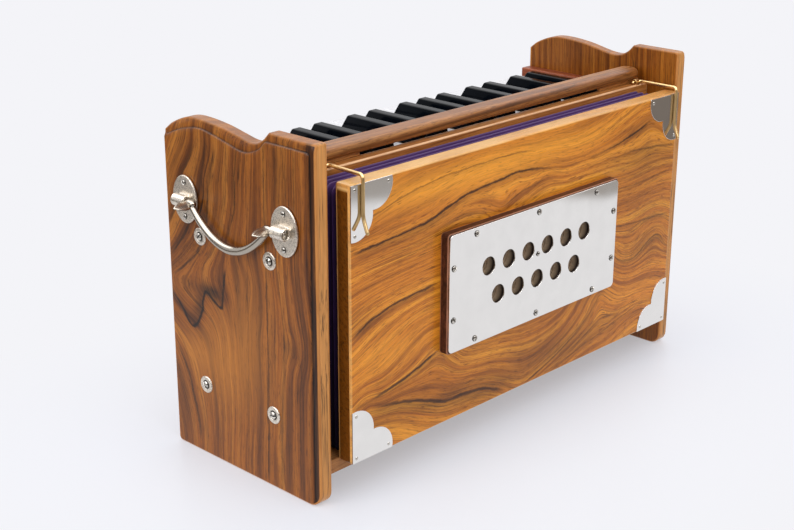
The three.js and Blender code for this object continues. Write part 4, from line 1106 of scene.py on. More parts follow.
def screw_head(foot, axis, radius, height, start, angle, slot):
    """A domed head with a slot: the dome's height is a quarter ellipse of the radius, less the slot's depth
    within its half width. The slot and the rim are marked for painted shade."""
    rows, count, under = 12, 48, -0.3
    half_slot, slot_depth = slot
    share = np.linspace(0, 1, rows)[:, None]
    angles = full_turn(count)[None]
    u, v = radius * share * np.cos(angles), radius * share * np.sin(angles)
    dome = start + (height - start) * np.sqrt(np.clip(1 - share**2, 0, 1)) + 0 * angles
    across = np.abs(u * math.cos(angle) + v * math.sin(angle))
    cut = slot_depth * (1 - np.clip((across - half_slot * 0.6) / (half_slot * 0.5), 0, 1))
    top = np.maximum(dome - cut, min(start, 0) - 0.1)
    axis, side, other = axes_round(axis)

    def put(a, b, h):
        placed = np.asarray(foot, float) + a[..., None] * side + b[..., None] * other + h[..., None] * axis
        return placed.reshape(-1, 3)

    nought = np.zeros(1)
    head, ring = put(u[1:], v[1:], top[1:]), put(u[-1:], v[-1:], np.full_like(u[-1:], under))
    poles = [put(nought, nought, height) for height in (top[0, :1], np.full(1, under))]
    points = np.concatenate([head, ring, *poles])
    slot_and_rim_shade = np.maximum(cut > slot_depth * 0.3, share + 0 * angles > 0.86)[1:].ravel()
    around, last_row, centre = np.arange(count), (rows - 1) * count, rows * count
    caps = [fan(centre, around, True), fan(centre + 1, last_row + around, False)]
    faces = [grid_faces(rows, count, close_columns=True), *caps]
    return shell(points, faces, np.concatenate([slot_and_rim_shade, np.ones(count + 2)]))


# ---- Case boards




def build_case():
    """The base board is a block, and the front panel a slab with a hole for each stop's rod. Two end blocks
    and the slip under the keys' fronts make the key frame."""
    low, high = centred("base_board")
    board = block((low[0], high[0], low[1], high[1]), low[2], high[2], corner=0.8, rims=(0.8, 0.8))
    grain = straight_grain("x", 0.3)
    piece("base_board_wood", {"case_wood": board}, "case", ["base_board"], grain)
    low, high = centred("front_panel")
    rod_height, rod_hole = centred("stop_treble")[1][2] - KNOB_RADIUS, 3.35
    holes = [circle((side * STOP_PLACE, rod_height), rod_hole, 24) for side in (-1, 1)]
    panel = slab([round_rectangle(low[0], high[0], low[2], high[2], 0.8), *holes], low[1], high[1], 0.6, "y")
    grain = straight_grain("x", 1.7)
    piece("front_panel_wood", {"case_wood": panel}, "case", ["front_panel"], grain)
    low, high = centred("key_frame")
    width, slip_front, slip_back, slip_height = 12.2, FRONT + 2, FRONT + 19, 3.5
    blocks = [
        block((start, end, low[1], high[1]), low[2], high[2], corner=1.2, rims=(0.4, 1.0))
        for start, end in ((low[0], low[0] + width), (high[0] - width, high[0]))
    ]
    slip = (low[0], high[0], slip_front, slip_back)
    blocks.append(block(slip, low[2], low[2] + slip_height, corner=0.5, rims=(0.3, 0.3)))
    grain = straight_grain("y", 2.1)
    piece("key_frame_wood", {"block_wood": merged(blocks)}, "case", ["key_frame"], grain)
    build_rail()
    build_back_frame()


def build_rail():
    """The rail's plan is a long rectangle with rounded ends, and its edges are rounded over. It stands on
    two thin feet, with the long slot between them."""
    low, high = centred("key_rail")
    front, back, end_radius = 30.0, 50.5, 9.0
    bottom = high[2] - 10.5
    plan = spaced_loop(round_rectangle(low[0], high[0], front, back, end_radius, 9), 14)
    rail = slab([plan], bottom, high[2], size("rail_rounding"), "z", arc=7)
    feet = [
        block((start, end, 44.2, 47.0), low[2], bottom + 1, corner=0.3, rims=(0.1, 0.1))
        for start, end in ((low[0] + 1, low[0] + 61), (high[0] - 69, high[0] - 1))
    ]
    made = {"rail_wood": merged([rail, *feet])}
    piece("key_rail_wood", made, "case", ["key_rail"], straight_grain("x", 3.3))


def build_back_frame():
    """The back frame is a slab with the wind port through it. Each strap is an arch over a catch's eye:
    half circles of its outer and inner radius, with legs down into the ledge."""
    low, high = centred("back_frame")
    top = centred("pump_board")[1][2] + 0.5
    port = round_rectangle(-22, 22, 145, 157, 2.0)
    wall = slab([round_rectangle(low[0], high[0], low[2], top, 2.0), port], 44.0, 56.0, 1.5, "y")
    made = {"frame_wood": wall}
    piece("back_frame_wood", made, "case", ["back_frame"], straight_grain("x", 4.4))
    outer, bore, width, foot = 3.05, 1.85, 5, top - 0.2
    y, z = CATCH_EYE
    turns = np.linspace(0, np.pi, 13)
    arch = []
    for radius, angles in ((outer, turns), (bore, turns[::-1])):
        first, last = [(y + radius * math.cos(angles[k]), foot) for k in (0, -1)]
        arch += [first, *[(y + radius * math.cos(a), z + radius * math.sin(a)) for a in angles], last]
    straps = [slab([np.array(arch)], start, start + width, 0.25, "x", arc=2) for start in (192.85, -209.15)]
    piece("catch_straps", {"brass": merged(straps)}, "case")


# ---- Keys


def key_nodes(kind):
    """Names of the white or the black keys, from the bass up."""
    return sorted(name for name in frame["nodes"] if name.startswith(f"{kind}_key_"))


def span(node):
    """Where a node starts and ends across the keyboard."""
    return [corner[0] for corner in centred(node)]


def key_tails():
    """Where each white and each black key's tail starts and ends across the keyboard. A white key's tail
    gives way to the black keys beside it."""
    whites, blacks = ({name: span(name) for name in key_nodes(kind)} for kind in ("white", "black"))
    for name, (x0, x1) in whites.items():
        whites[name] = [
            max([x0] + [b + KEY_GAP for a, b in blacks.values() if a < x0 < b + KEY_GAP]),
            min([x1] + [a - KEY_GAP for a, b in blacks.values() if a - KEY_GAP < x1 < b]),
        ]
    return whites, blacks


def lever_outline(front, top):
    """A key's lever from the side: the notch over the balance pin, and the pallet's stem behind it."""
    bottom, pin_y, pin_z, notch = 233.5, 1.5, 234.5, 1.85
    pallet_front, pallet_end, pallet_low, tail = 23.0, 40.0, 222.0, 41.0
    angles = np.linspace(np.pi, 0, 9)
    points = [(front, bottom), (pin_y - notch, bottom)]
    points += [(pin_y + notch * math.cos(a), pin_z + notch * math.sin(a)) for a in angles]
    stem = [
        (pallet_front, bottom), (pallet_front, pallet_low), (pallet_end, pallet_low), (pallet_end, bottom)
    ]
    points += [(pin_y + notch, bottom), *stem, (tail, bottom), (tail, top), (front, top)]
    return np.array(points)


def key_lever(x0, x1, front, top):
    """A key's lever, cut from its side view, and the leather pad under its pallet."""
    return {
        "lever_wood": slab([lever_outline(front, top)], x0 + 0.15, x1 - 0.15, 0.3, "x", arc=2),
        "pallet_leather": block((x0 + 0.4, x1 - 0.4, 22.8, 40.2), 220.3, 222.4, corner=0.4, rims=(0.2, 0.2)),
    }


def build_keys():
    """A white key has a broad head and a thin cap on its narrower tail. A black key's cap narrows to its
    top and slopes at its front."""
    skin, head_depth, foot_height, slope, taper = 2.2, 21.5, 245.3, 6.7, 1.3
    whites, blacks = key_tails()
    for index, (name, (tail0, tail1)) in enumerate(whites.items()):
        low, high = centred(name)
        front, top = low[1], high[2]
        neck = front + head_depth - 1.2
        head = block((low[0], high[0], front, neck), low[2] + 13.2, top, corner=0.8, rims=(0.3, 0.9))
        cap = block((tail0, tail1, neck - 3, 41.0), top - skin, top - 0.02, corner=0.4, rims=(0.1, 0.5))
        made = {"white_key": merged([head, cap]), **key_lever(tail0, tail1, neck - 4, top - skin + 0.3)}
        piece(f"{name}_lever", made, name, [name], straight_grain("y", 0.21 * index))
    for index, (name, (x0, x1)) in enumerate(blacks.items()):
        low, high = centred(name)
        foot, crest = (x0, x1, low[1], 27.0), (x0 + taper, x1 - taper, low[1] + slope, 26.8)
        cap = block(foot, foot_height, high[2], crest, corner=1.4, rims=(0.1, 1.3), arc=4)
        made = {"black_key": cap, **key_lever(x0, x1, low[1] + 0.4, foot_height + 0.2)}
        piece(f"{name}_lever", made, name, [name], straight_grain("y", 3 + 0.17 * index))


def build_key_springs():
    """A brass comb: one bent wire for each key, fixed in the strip and resting on the key's tail."""
    low, high = centred("key_springs")
    strip = block((low[0], high[0], 42.1, 43.7), 251.5, 257.5, corner=0.2, rims=(0.2, 0.2))
    piece("key_spring_strip", {"brass": strip}, "case", ["key_springs"])
    bends = [(42.6, 252.6), (39.5, 252.4), (35.5, 249.2), (32.2, 246.9), (30.9, 246.7)]
    whites, blacks = key_tails()
    for name, ends in [*whites.items(), *blacks.items()]:
        x = sum(ends) / 2
        wire = swept(through([(x, y, z) for y, z in bends], 4), size("spring_wire"), 8)
        made = piece(f"{name}_spring", {"brass": wire}, None)
        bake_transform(made)


# ---- Pump board, its block, plates and flap


AIR_HOLES = [((i - (n - 1) / 2) * 25.3, row) for n, row in ((6, 13.6), (5, -13.6)) for i in range(n)]


def air_centre():
    """Height of the middle of the air plate."""
    low, high = centred("air_plate")
    return (low[2] + high[2]) / 2


def air_holes(count):
    """The eleven holes through the plate and its block, as loops of so many points."""
    return [circle((x, air_centre() + z), size("air_hole"), count) for x, z in AIR_HOLES]


def by_hole(spots):
    """Which spots belong to the wall or the mouth of an air hole."""
    centres = np.array(AIR_HOLES) + (0, air_centre())
    return np.linalg.norm(spots[:, None] - centres[None], axis=2).min(1) < 8.7


def corner_outline(corner, signs):
    """Two lobes either side of the corner: circles whose centres stand along the board's two edges."""
    radius, shift, reach, inset = 19.0, 4.5, 25.5, 0.6
    lap = math.asin(shift / radius)
    meet = math.asin(math.sqrt(0.5) * (reach - shift) / radius) - math.pi / 4
    first = np.linspace(-lap, math.pi / 2 + meet, 22)
    second = np.linspace(-meet, math.pi / 2 + lap, 22)
    loop = [(0.0, 0.0)]
    loop += [(reach + radius * math.cos(a), shift + radius * math.sin(a)) for a in first]
    loop += [(shift + radius * math.cos(a), reach + radius * math.sin(a)) for a in second]
    return corner - np.maximum(np.array(loop), inset) * signs


def build_pump_board():
    """The board and the raised block are slabs with the air holes through them."""
    low, high = centred("pump_board")
    half, top, bottom, spacing = high[0], high[2], low[2], 4.0
    outline = spaced_loop(round_rectangle(-half, half, bottom, top, 2.1), spacing)
    rounding, loops = size("board_rounding"), [outline, *air_holes(28)]
    points, faces, edge = slab(loops, BOARD_BACK, BOARD_FACE, rounding, "y", spacing=spacing)
    spots = points[:, [0, 2]]
    # The upper edge is pale with wear and painted highlight, more towards the treble; the other rounded edges
    # get little of either, and the sawn faces keep their dark colour, painted as shade
    upper = spots[:, 1] > top - 3
    edge[(edge == 1) & (spots[:, 1] < top - 3)] = 0.4
    upper &= edge >= 1
    edge[upper] = 0.9 - 0.5 * np.clip((110 - spots[upper, 0]) / 320, 0, 1)
    edge[upper & (spots[:, 0] > half - 0.8)] = 0.4
    # The holes' walls take the pale bore colour, painted as light deep inside
    edge[by_hole(spots)] = 3.0
    across = spots[:, 1] + bent(BOARD_LINES, 1)(spots) + (points[:, 1] - BOARD_FACE) * 0.8
    marks = {
        "stroke": strokes(BOARD_LINES, spots),
        "cloud": clouds(BOARD_CLOUDS_OF_FIGURE_LIGHT_AND_SHADE, spots),
        "grain": np.stack([points[:, 0], points[:, 1], across], 1) * MM,
    }
    made = {"board_wood": (points, faces, edge)}
    piece("pump_board_wood", made, "pump_board", ["pump_board"], marks=marks)
    middle = air_centre()
    outline = spaced_loop(round_rectangle(-111.5, 111.5, middle - 51, middle + 51, 3.0), 12)
    points, faces, edge = slab([outline, *air_holes(40)], BOARD_FACE - 0.2, BLOCK_FACE, 0.7, "y")
    drilled = by_hole(points[:, [0, 2]])
    # Painted shade near the holes' mouths, and painted light deeper in
    edge[drilled] = 3.0 + (points[drilled, 1] > BOARD_FACE + 3)
    made = {"ply_wood": (points, faces, edge)}
    piece("air_block_wood", made, "pump_board", grain=lambda p: p[:, [0, 2, 1]] * MM)
    build_corner_plates(half, top, bottom)


def build_corner_plates(half, top, bottom):
    """Each corner plate is a thin slab, held by three pins whose domes are quarter ellipses."""
    plate_face = BOARD_FACE + 0.8
    dome = [(1.5 * math.sin(t), 0.6 * math.cos(t)) for t in np.linspace(0.2, 1.5, 6)]
    dome = [(0, 0.6), *dome, (1.5, -0.2), (0, -0.2)]
    plates = [(f"{row}_{end}", (sx, sz)) for row, sz in (("upper", 1), ("lower", -1)) for end, sx in SIDES]
    for name, signs in plates:
        corner = np.array([signs[0] * half, top if signs[1] > 0 else bottom])
        plate = slab([corner_outline(corner, signs)], BOARD_FACE - 0.3, plate_face, 0.2, "y", arc=2)
        places = [corner - np.array(place) * signs for place in ((4.5, 4.5), (40.0, 4.5), (4.5, 40.0))]
        pins = [lathe(dome, (x, plate_face, z), (0, 1, 0), 20) for x, z in places]
        made = {"polished": plate, "screw_steel": merged(pins)}
        piece(f"corner_plate_{name}", made, "pump_board")


def build_air_plate():
    """The plate is a thin slab with ten screws round its rim and one in its middle. The flap is a thin
    sheet hung behind the holes."""
    middle = air_centre()
    outline = spaced_loop(round_rectangle(-110.5, 110.5, middle - 50, middle + 50, 4.0, 8), 20)
    plate = slab([outline, *air_holes(56)], BLOCK_FACE, PLATE_FACE, 0.3, "y", arc=3)
    piece("air_plate_sheet", {"polished": plate}, "pump_board", ["air_plate"])
    places = [(0.0, 8.2, 2.2)]
    for side in (-1, 1):
        places += [(x, side * 45.0, 2.8) for x in (-79.0, 0.0, 79.0)]
        places += [(side * 105.5, z, 2.8) for z in (-22.0, 22.0)]
    heads = [
        screw_head((x, PLATE_FACE, middle + z), (0, 1, 0), radius, 1.5, 0.1, 0.9 + 1.7 * index, (0.45, 1.0))
        for index, (x, z, radius) in enumerate(places)
    ]
    piece("air_plate_screws", {"screw_steel": merged(heads)}, "pump_board", sharp=45)
    low, high = centred("inlet_flap")
    outline = round_rectangle(low[0], high[0], low[2], high[2], 5.0)
    flap = slab([outline], low[1], high[1], 0.4, "y", spacing=8.0)
    hung = piece("inlet_flap_leather", {"flap_leather": flap}, "inlet_flap", ["inlet_flap"])


# ---- Bellows


def fold_profile(folds, depth, wall, low, high):
    """One side of a folded wall: the distance in from the outer edge goes from crease to crease in rounded
    steps, and the inner side is the same line, set in by the wall's thickness."""
    share = np.linspace(0, 1, 20 * folds + 1)
    swing = np.arccos(np.cos(2 * np.pi * folds * share) * 0.985) / np.pi
    inset, along = depth * swing, low + (high - low) * share
    outer = np.stack([inset, along], 1)
    inner = np.stack([inset + wall, along], 1)[::-1]
    crest = np.clip(1 - swing * 6, 0, 1)
    return np.concatenate([outer, inner]), np.concatenate([crest, crest[::-1] * 0])


def build_bellows():
    """The folded wall goes round a rounded rectangle that is drawn in by each point of its profile. Below its
    top, down in the gap, it is painted dark as shade, and the crests on its top are painted with highlight."""
    low, high = centred("bellows_cloth")
    half, bottom, top, corner = high[0], low[2], high[2] + 1.5, 7.0
    folds_count, deep = bpy.context.scene.harmonium_sizes.folds, size("fold_depth")
    profile, crest = fold_profile(folds_count, deep, CLOTH, low[1] + 0.1, high[1] - 0.1)
    rings = []
    for inset, along in profile:
        radius = max(corner - inset * 0.5, 1.0)
        loop = round_rectangle(-half + inset, half - inset, bottom + inset, top - inset, radius, 7)
        rings.append(turn("y", loop[:, 0], loop[:, 1], along))
    rows, count = len(rings), len(rings[0])
    points = np.concatenate(rings)
    # Painted shade, growing over 12 mm below the top, and painted highlight on the crests above it
    gap_shade = np.clip((top - 3 - points[:, 2]) / 12, 0, 1)
    edge = np.repeat(crest, count) * (1 - gap_shade) - 0.9 * gap_shade
    made = {"bellows_cloth": shell(points, [grid_faces(rows, count, True, True)], edge)}
    folds = piece("bellows_folds", made, None, ["bellows_cloth"], sharp=180)
    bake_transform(folds)


def build_reservoir():
    """The folded wall goes round the reservoir's two ends and its front."""
    low, high = centred("reservoir_cloth")
    half, front, back, folds_count, deep = high[0], low[1], 29.4, 2, 6.6
    profile, crest = fold_profile(folds_count, deep, CLOTH, low[2], high[2])
    rings = []
    for inset, along in profile:
        side, near = half - inset, front + inset
        line = np.array([(-side, back), (-side, near), (side, near), (side, back)])
        runs = [np.linspace(a, b, 12, endpoint=False) for a, b in zip(line[:-1], line[1:])]
        dense = np.concatenate([*runs, line[-1:]])
        rings.append(turn("z", dense[:, 0], dense[:, 1], along))
    rows, count = len(rings), len(rings[0])
    caps = [np.arange(rows)[None] * count, (np.arange(rows)[None, ::-1]) * count + count - 1]
    faces = [grid_faces(rows, count, True, False), *caps]
    # The crests of the folds are painted with highlight
    made = {"bellows_cloth": shell(np.concatenate(rings), faces, np.repeat(crest, count))}
    folds = piece("reservoir_folds", made, None, ["reservoir_cloth"], sharp=180)
    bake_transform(folds)
    build_reservoir_spring()


def build_reservoir_spring():
    """A coil, which is a circle whose centre moves along X, between two straight arms."""
    low, high = centred("reservoir_spring")
    coil_y, front_y, radius, wire, spread, turns = 8.4, -58.25, 9.0, 1.6, 9.6, 2.5
    base, top = low[2] + wire, high[2] - wire
    middle = (base + top) / 2
    points = [(-spread, front_y, base), (-spread, (front_y + coil_y) / 2, (base * 3 + middle) / 4)]
    for share in np.linspace(0, 1, 41):
        angle = -math.pi / 2 + share * turns * 2 * math.pi
        y, z = coil_y + radius * math.cos(angle), middle + radius * math.sin(angle)
        points.append((-spread + 2 * spread * share, y, z))
    points += [(spread, (front_y + coil_y) / 2, (top * 3 + middle) / 4), (spread, front_y, top)]
    made = {"spring_steel": swept(through(points, 4), wire, 10)}
    spring = piece("reservoir_spring_wire", made, None, ["reservoir_spring"])
    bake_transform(spring)


# ---- Wire catches


def bent_wire(corners, bend):
    """Straight stretches joined by quadratic bends that start and end at the bend's length from a corner,
    all in even steps of a little over a millimetre."""
    spacing = 1.2
    corners = np.asarray(corners, float)
    points = [corners[0]]
    for before, corner, after in zip(corners, corners[1:], corners[2:]):
        a, b = before - corner, after - corner
        reach = min(bend, np.linalg.norm(a) / 2, np.linalg.norm(b) / 2)
        start, end = corner + a / np.linalg.norm(a) * reach, corner + b / np.linalg.norm(b) * reach
        t = np.linspace(0, 1, 9)[:, None]
        points += list((1 - t) ** 2 * start + 2 * t * (1 - t) * corner + t**2 * end)
    points.append(corners[-1])
    line = np.array(points)
    gaps = np.linalg.norm(np.diff(line, axis=0), axis=1)
    at = np.concatenate([[0], np.cumsum(gaps)])
    even = np.linspace(0, at[-1], int(at[-1] / spacing))
    return np.stack([np.interp(even, at, line[:, k]) for k in range(3)], 1)


def build_catches():
    """Each catch is one bent wire: from the eye along the ledge, out over the board's edge, down the corner
    plate, and a last turn outwards for the thumb."""
    on_plate, (eye_y, eye_z) = 100.25, CATCH_EYE
    places = (("treble", 188.5, 11.0, 264.8, 232.5), ("bass", -213.5, 10.4, 263.6, 229.0))
    for name, foot, reach, corner_z, bend_z in places:
        front = foot + reach
        corners = [
            (foot + 10.85, eye_y, eye_z),
            (foot, eye_y, eye_z),
            (front, on_plate, corner_z),
            (front, on_plate, bend_z),
            (front + 1.0, on_plate + 5.5, bend_z - 11.0),
        ]
        made = {"brass": swept(bent_wire(corners, 4.0), size("catch_wire"), 16)}
        piece(f"catch_{name}_wire", made, f"catch_{name}", [f"catch_{name}"], sharp=60)


# ---- Handles


def build_handles():
    """Two roses and a bail for each cheek."""
    for name, side in SIDES:
        for end, y in (("front", -60.9), ("back", 56.1)):
            build_rose(f"rose_{name}_{end}", side, y)
        build_bail(name, side)


def build_rose(node, side, y):
    """An oval plate with two screws, and a hollow boss on a neck that holds the bail's end."""
    grip_x, z = HANDLE_AXIS
    face, thickness, axis = OUTER + 0.3, 2.2, (side, 0, 0)
    inner, outer = sorted((side * face, side * (face + thickness)))
    plate = slab([circle((y, z), (14.75, 19.75), 72)], inner, outer, 0.9, "x")
    profile = [
        (2.75, -7), (4.4, -7), (5, -6.4), (5, 6.4), (4.4, 7), (3.9, 7), (3.6, 6.6), (3.6, 3.5), (2.75, 3.2)
    ]
    boss = lathe(profile, (side * grip_x, y, z), (0, 1 if y > 0 else -1, 0), 36, closed=True)
    wide, narrow = (y - 6.8, y + 6.8, z - 5.4, z + 5.4), (y - 6.4, y + 6.4, z - 4.2, z + 4.2)
    foot, top = (wide, narrow)[::side]
    low, high = sorted((side * (face + 1.8), side * 239.0))
    neck = block(foot, low, high, top, "x", corner=1.5, rims=(0.2, 0.2))
    screws = [
        screw_head((side * (face + thickness), y, z + v), axis, 2.6, 1.3, 0.1, 0.7 + v + y, (0.4, 0.8))
        for v in (-14.0, 14.0)
    ]
    made = {"nickel": merged([plate, boss, neck]), "screw_steel": merged(screws)}
    piece(f"{node}_plate", made, "case", [node], sharp=42)


def build_bail(name, side):
    """The bail hangs in a parabola and swells towards its middle. A leaf stands out at each end: a flat
    oval carried outwards, whose width and thickness fall to its tip."""
    x, y0, z0, half, drop = side * HANDLE_AXIS[0], -2.4, HANDLE_AXIS[1], 46.5, 27.0
    share = np.linspace(-1, 1, 61)
    path = np.stack([np.full(61, x), y0 + half * share, z0 - drop * (1 - share**2)], 1)
    swell = size("bail_swell") * (1 - share**2) ** 0.9
    radii = size("bail_end") + swell + 0.2 * np.exp(-((share / 0.12) ** 2))
    parts = [swept(path, radii, 24)]
    out = np.linspace(0, 1, 25)[:, None]
    angles = full_turn(20)
    width = 4.6 * np.sin(np.pi * np.clip(out * 0.78 + 0.22, 0, 1)) ** 0.8 + 0.12
    thick = 1.2 * (1 - out) ** 0.5 + 0.25
    lean = math.radians(35)
    wide, deep = width * np.cos(angles), thick * np.sin(angles)
    for end in (-1, 1):
        corner = y0 + end * half
        tip = y0 + end * (58.5 + 7 - 0.35) - end * 3.2
        parts.append(swept([(x, corner - end * 1.0, z0), (x, (corner + tip) / 2, z0), (x, tip, z0)], 2.3, 20))
        eye = [(x, corner + end * along, z0) for along in (-3.2, 0, 3.2)]
        parts.append(swept(eye, [2.9, 3.4, 2.9], 20))
        leaf = [
            x + side * (-1.0 + 17.4 * out) + 0 * wide,
            corner - wide * math.cos(lean) + deep * math.sin(lean),
            z0 - 0.7 * np.minimum(out * 3, 1) + wide * math.sin(lean) + deep * math.cos(lean),
        ]
        parts.append(capped(np.stack(leaf, -1)))
    made = {"bail_nickel": merged(parts)}
    piece(f"handle_{name}_bail", made, f"handle_{name}", [f"handle_{name}"], sharp=50)


# ---- Stops and the reeds


def build_stops():
    """Each stop is a turned knob and its rod, with the flat slide over its wind slot."""
    profile = [
        (0, 0), (4.6, 0), (5, 0.4), (4.6, 3), (4.9, 6), (7.6, 8.6), (9, 11), (9, 13.6), (7.4, 16.2), (4, 17),
        (0, 17),
    ]
    foot = FRONT + 1.4
    for name, side in SIDES:
        node = f"stop_{name}"
        x, z = side * STOP_PLACE, centred(node)[1][2] - KNOB_RADIUS
        made = {
            "dark_knob": lathe(through(profile, 3), (x, foot, z), (0, -1, 0), 40),
            "screw_steel": swept([(x, foot - 1, z), (x, -40, z), (x, -16.2, z)], 2.95, 20, ends=False),
            "block_wood": block((x - 28, x + 28, -26.6, -4.6), 168.3, 172.3, corner=1.0, rims=(0.3, 0.5)),
        }
        piece(f"{node}_knob", made, node, [node], straight_grain("x", 6.0))


def build_reeds():
    """The inner boards and the reed plate keep their CAD shapes and get their own finishes."""
    boards = dict.fromkeys(("reed_board", "chamber_floor", "reservoir_board"), "inner_wood")
    for node, name in {**boards, "reed_plate": "brass"}.items():
        mesh = frame["nodes"][node].data
        mesh.materials.clear()
        mesh.materials.append(finish(name))


# ---- Stage


BACKDROP = "#f4f4f8"
CAMERA_AZIMUTH, CAMERA_ELEVATION, CAMERA_ROLL = 133.99, 19.81, 0.13
CAMERA_TARGET, CAMERA_DISTANCE, CAMERA_LENS = (0.0014, -0.05935, 0.105), 1.3472, 66.08


def build_camera():
    """The camera looks back along its azimuth and elevation at its target, and is rolled a little."""
    a, e = math.radians(CAMERA_AZIMUTH), math.radians(CAMERA_ELEVATION)
    back = Vector((math.sin(a) * math.cos(e), -math.cos(a) * math.cos(e), math.sin(e)))
    right = Vector((0, 0, 1)).cross(back).normalized()
    up = back.cross(right)
    roll = math.radians(CAMERA_ROLL)
    right, up = math.cos(roll) * right + math.sin(roll) * up, math.cos(roll) * up - math.sin(roll) * right
    camera = bpy.data.cameras.new("photo_camera")
    camera.lens, camera.sensor_width, camera.sensor_fit = CAMERA_LENS, 36.0, "HORIZONTAL"
    camera.clip_start, camera.clip_end = 0.05, 50.0
    placed = bpy.data.objects.new("photo_camera", camera)
    bpy.context.scene.collection.objects.link(placed)
    placed.matrix_world = Matrix.Translation(Vector(CAMERA_TARGET) + back * CAMERA_DISTANCE) @ Matrix(
        [(right[k], up[k], back[k], 0) for k in range(3)] + [(0, 0, 0, 1)]
    )
    bpy.context.scene.camera = placed


def build_floor():
    """A pale sheet that fades into the background's own colour far off, and is already partly that glow near
    the harmonium: painted light that lightens its shadow. Polished faces see it white up to its edge and the
    dim studio beyond."""
    corners = [(x * 8.0, y * 8.0, 0) for x, y in ((-1, -1), (1, -1), (1, 1), (-1, 1))]
    mesh = bpy.data.meshes.new("studio_floor")
    mesh.from_pydata(corners, [], [(0, 1, 2, 3)])
    floor = bpy.data.objects.new("studio_floor", mesh)
    bpy.context.scene.collection.objects.link(floor)
    material, node = new_material("pale_studio_floor")
    place = node("TexCoord", output="Object")
    far = node("VectorMath", place, operation="LENGTH", output="Value")
    beyond = node("VectorMath", place, operation="ABSOLUTE")
    beyond = node("VectorMath", beyond, (OUTER * MM, BACK * MM, 0.0), operation="SUBTRACT")
    beyond = node("VectorMath", beyond, operation="MAXIMUM")
    clear = node("VectorMath", beyond, operation="LENGTH", output="Value")
    path = node("LightPath").node.outputs
    # Painted light on the floor: its faint blue cools the shadow, and near the harmonium the camera sees it
    # partly as the backdrop's glow, which lightens the shadow
    inputs = {"Base Color": linear("#ecf1fc"), "Roughness": 0.3, "Specular IOR Level": 0.3}
    pale = node("BsdfPrincipled", inputs)
    glow = node("Emission", {"Color": linear(BACKDROP), "Strength": 1.0})
    fade = node("ValToRGB", clear, stops=[(0.0, 0.4), (0.1, 0.75), (0.26, 1.0)])
    seen = node("Math", fade, path["Is Camera Ray"], operation="MULTIPLY")
    mixed = node("MixShader", seen, pale, glow)
    sides = node("SeparateXYZ", place).node.outputs
    across = node("Math", sides["Y"], operation="ABSOLUTE")
    along = node("Math", across, node("Math", sides["X"], 0.0, operation="MAXIMUM"), operation="ADD")
    dim = linear("#7d746c")
    lit, half_lit = linear("#f2f2f4"), linear("#aaa5a0")
    sheet = node("ValToRGB", far, stops=[(0.72, lit), (0.76, half_lit), (0.84, half_lit), (0.98, dim)])
    strip = node("ValToRGB", along, stops=[(0.445, lit), (0.47, dim)])
    sheet = node("Mix", 1.0, sheet, strip, blend_type="LIGHTEN", **COLOUR_MIX)
    mirrored = node("Emission", {"Color": sheet, "Strength": 1.0})
    mixed = node("MixShader", path["Is Glossy Ray"], mixed, mirrored)
    node("OutputMaterial", {"Surface": mixed})
    mesh.materials.append(material)


def build_world(strength):
    """Even light from all round. Polished faces see a pale wall behind the harmonium, a lit ceiling, and
    the dim studio on the camera's side."""
    world = bpy.data.worlds.new("studio")
    bpy.context.scene.world = world
    world.use_nodes = True
    world.node_tree.nodes.clear()
    node = partial(add_node, world.node_tree)
    path = node("LightPath").node.outputs
    light = node("Background", {"Color": linear("#f6f5f6"), "Strength": strength})
    shown = node("Background", {"Color": linear(BACKDROP), "Strength": 1.0})
    toward = node("TexCoord", output="Generated")
    facing = node("VectorMath", toward, (0.72, 0.69, 0.0), operation="DOT_PRODUCT", output="Value")
    above = node("SeparateXYZ", toward, output="Z")
    turned = node("Math", facing, 0.5, 0.5, operation="MULTIPLY_ADD")
    wall = node("ValToRGB", turned, stops=[(0.42, linear("#f2f2f4")), (0.62, linear("#6c645e"))])
    ceiling = node("ValToRGB", above, stops=[(0.5, 0.0), (0.62, 1.0)])
    strong = node("Math", ceiling, 2.2, 1.0, operation="MULTIPLY_ADD")
    room = node("Mix", ceiling, wall, linear("#ffffff"), **COLOUR_MIX)
    mirrored = node("Background", {"Color": room, "Strength": strong})
    seen = node("Math", path["Is Camera Ray"], path["Is Transmission Ray"], operation="MAXIMUM")
    mixed = node("MixShader", seen, light, shown)
    mixed = node("MixShader", path["Is Glossy Ray"], mixed, mirrored)
    node("OutputWorld", {"Surface": mixed})


def soft_lamp(name, place, width, power):
    """A round white lamp, aimed at the middle of the harmonium."""
    middle = Vector((0, 0, 0.12))
    lamp = bpy.data.lights.new(name, "AREA")
    lamp.shape, lamp.size, lamp.energy, lamp.color = "DISK", width, power, linear("#ffffff")
    placed = bpy.data.objects.new(name, lamp)
    bpy.context.scene.collection.objects.link(placed)
    placed.location = place
    placed.rotation_euler = (Vector(place) - middle).to_track_quat("Z", "Y").to_euler()


# ---- Settings


def colour_property(name, label, description):
    """A setting for a finish's own colour."""
    return FloatVectorProperty(
        name=label, description=description, default=linear(COLOURS[name]), subtype="COLOR", size=3, min=0.0,
        max=1.0,
    )


def length_property(label, description, millimetres, most):
    """A setting for a length, given in millimetres and kept in metres."""
    return FloatProperty(
        name=label, description=description, default=millimetres * MM, min=0.0001, max=most * MM,
        unit="LENGTH", precision=4,
    )


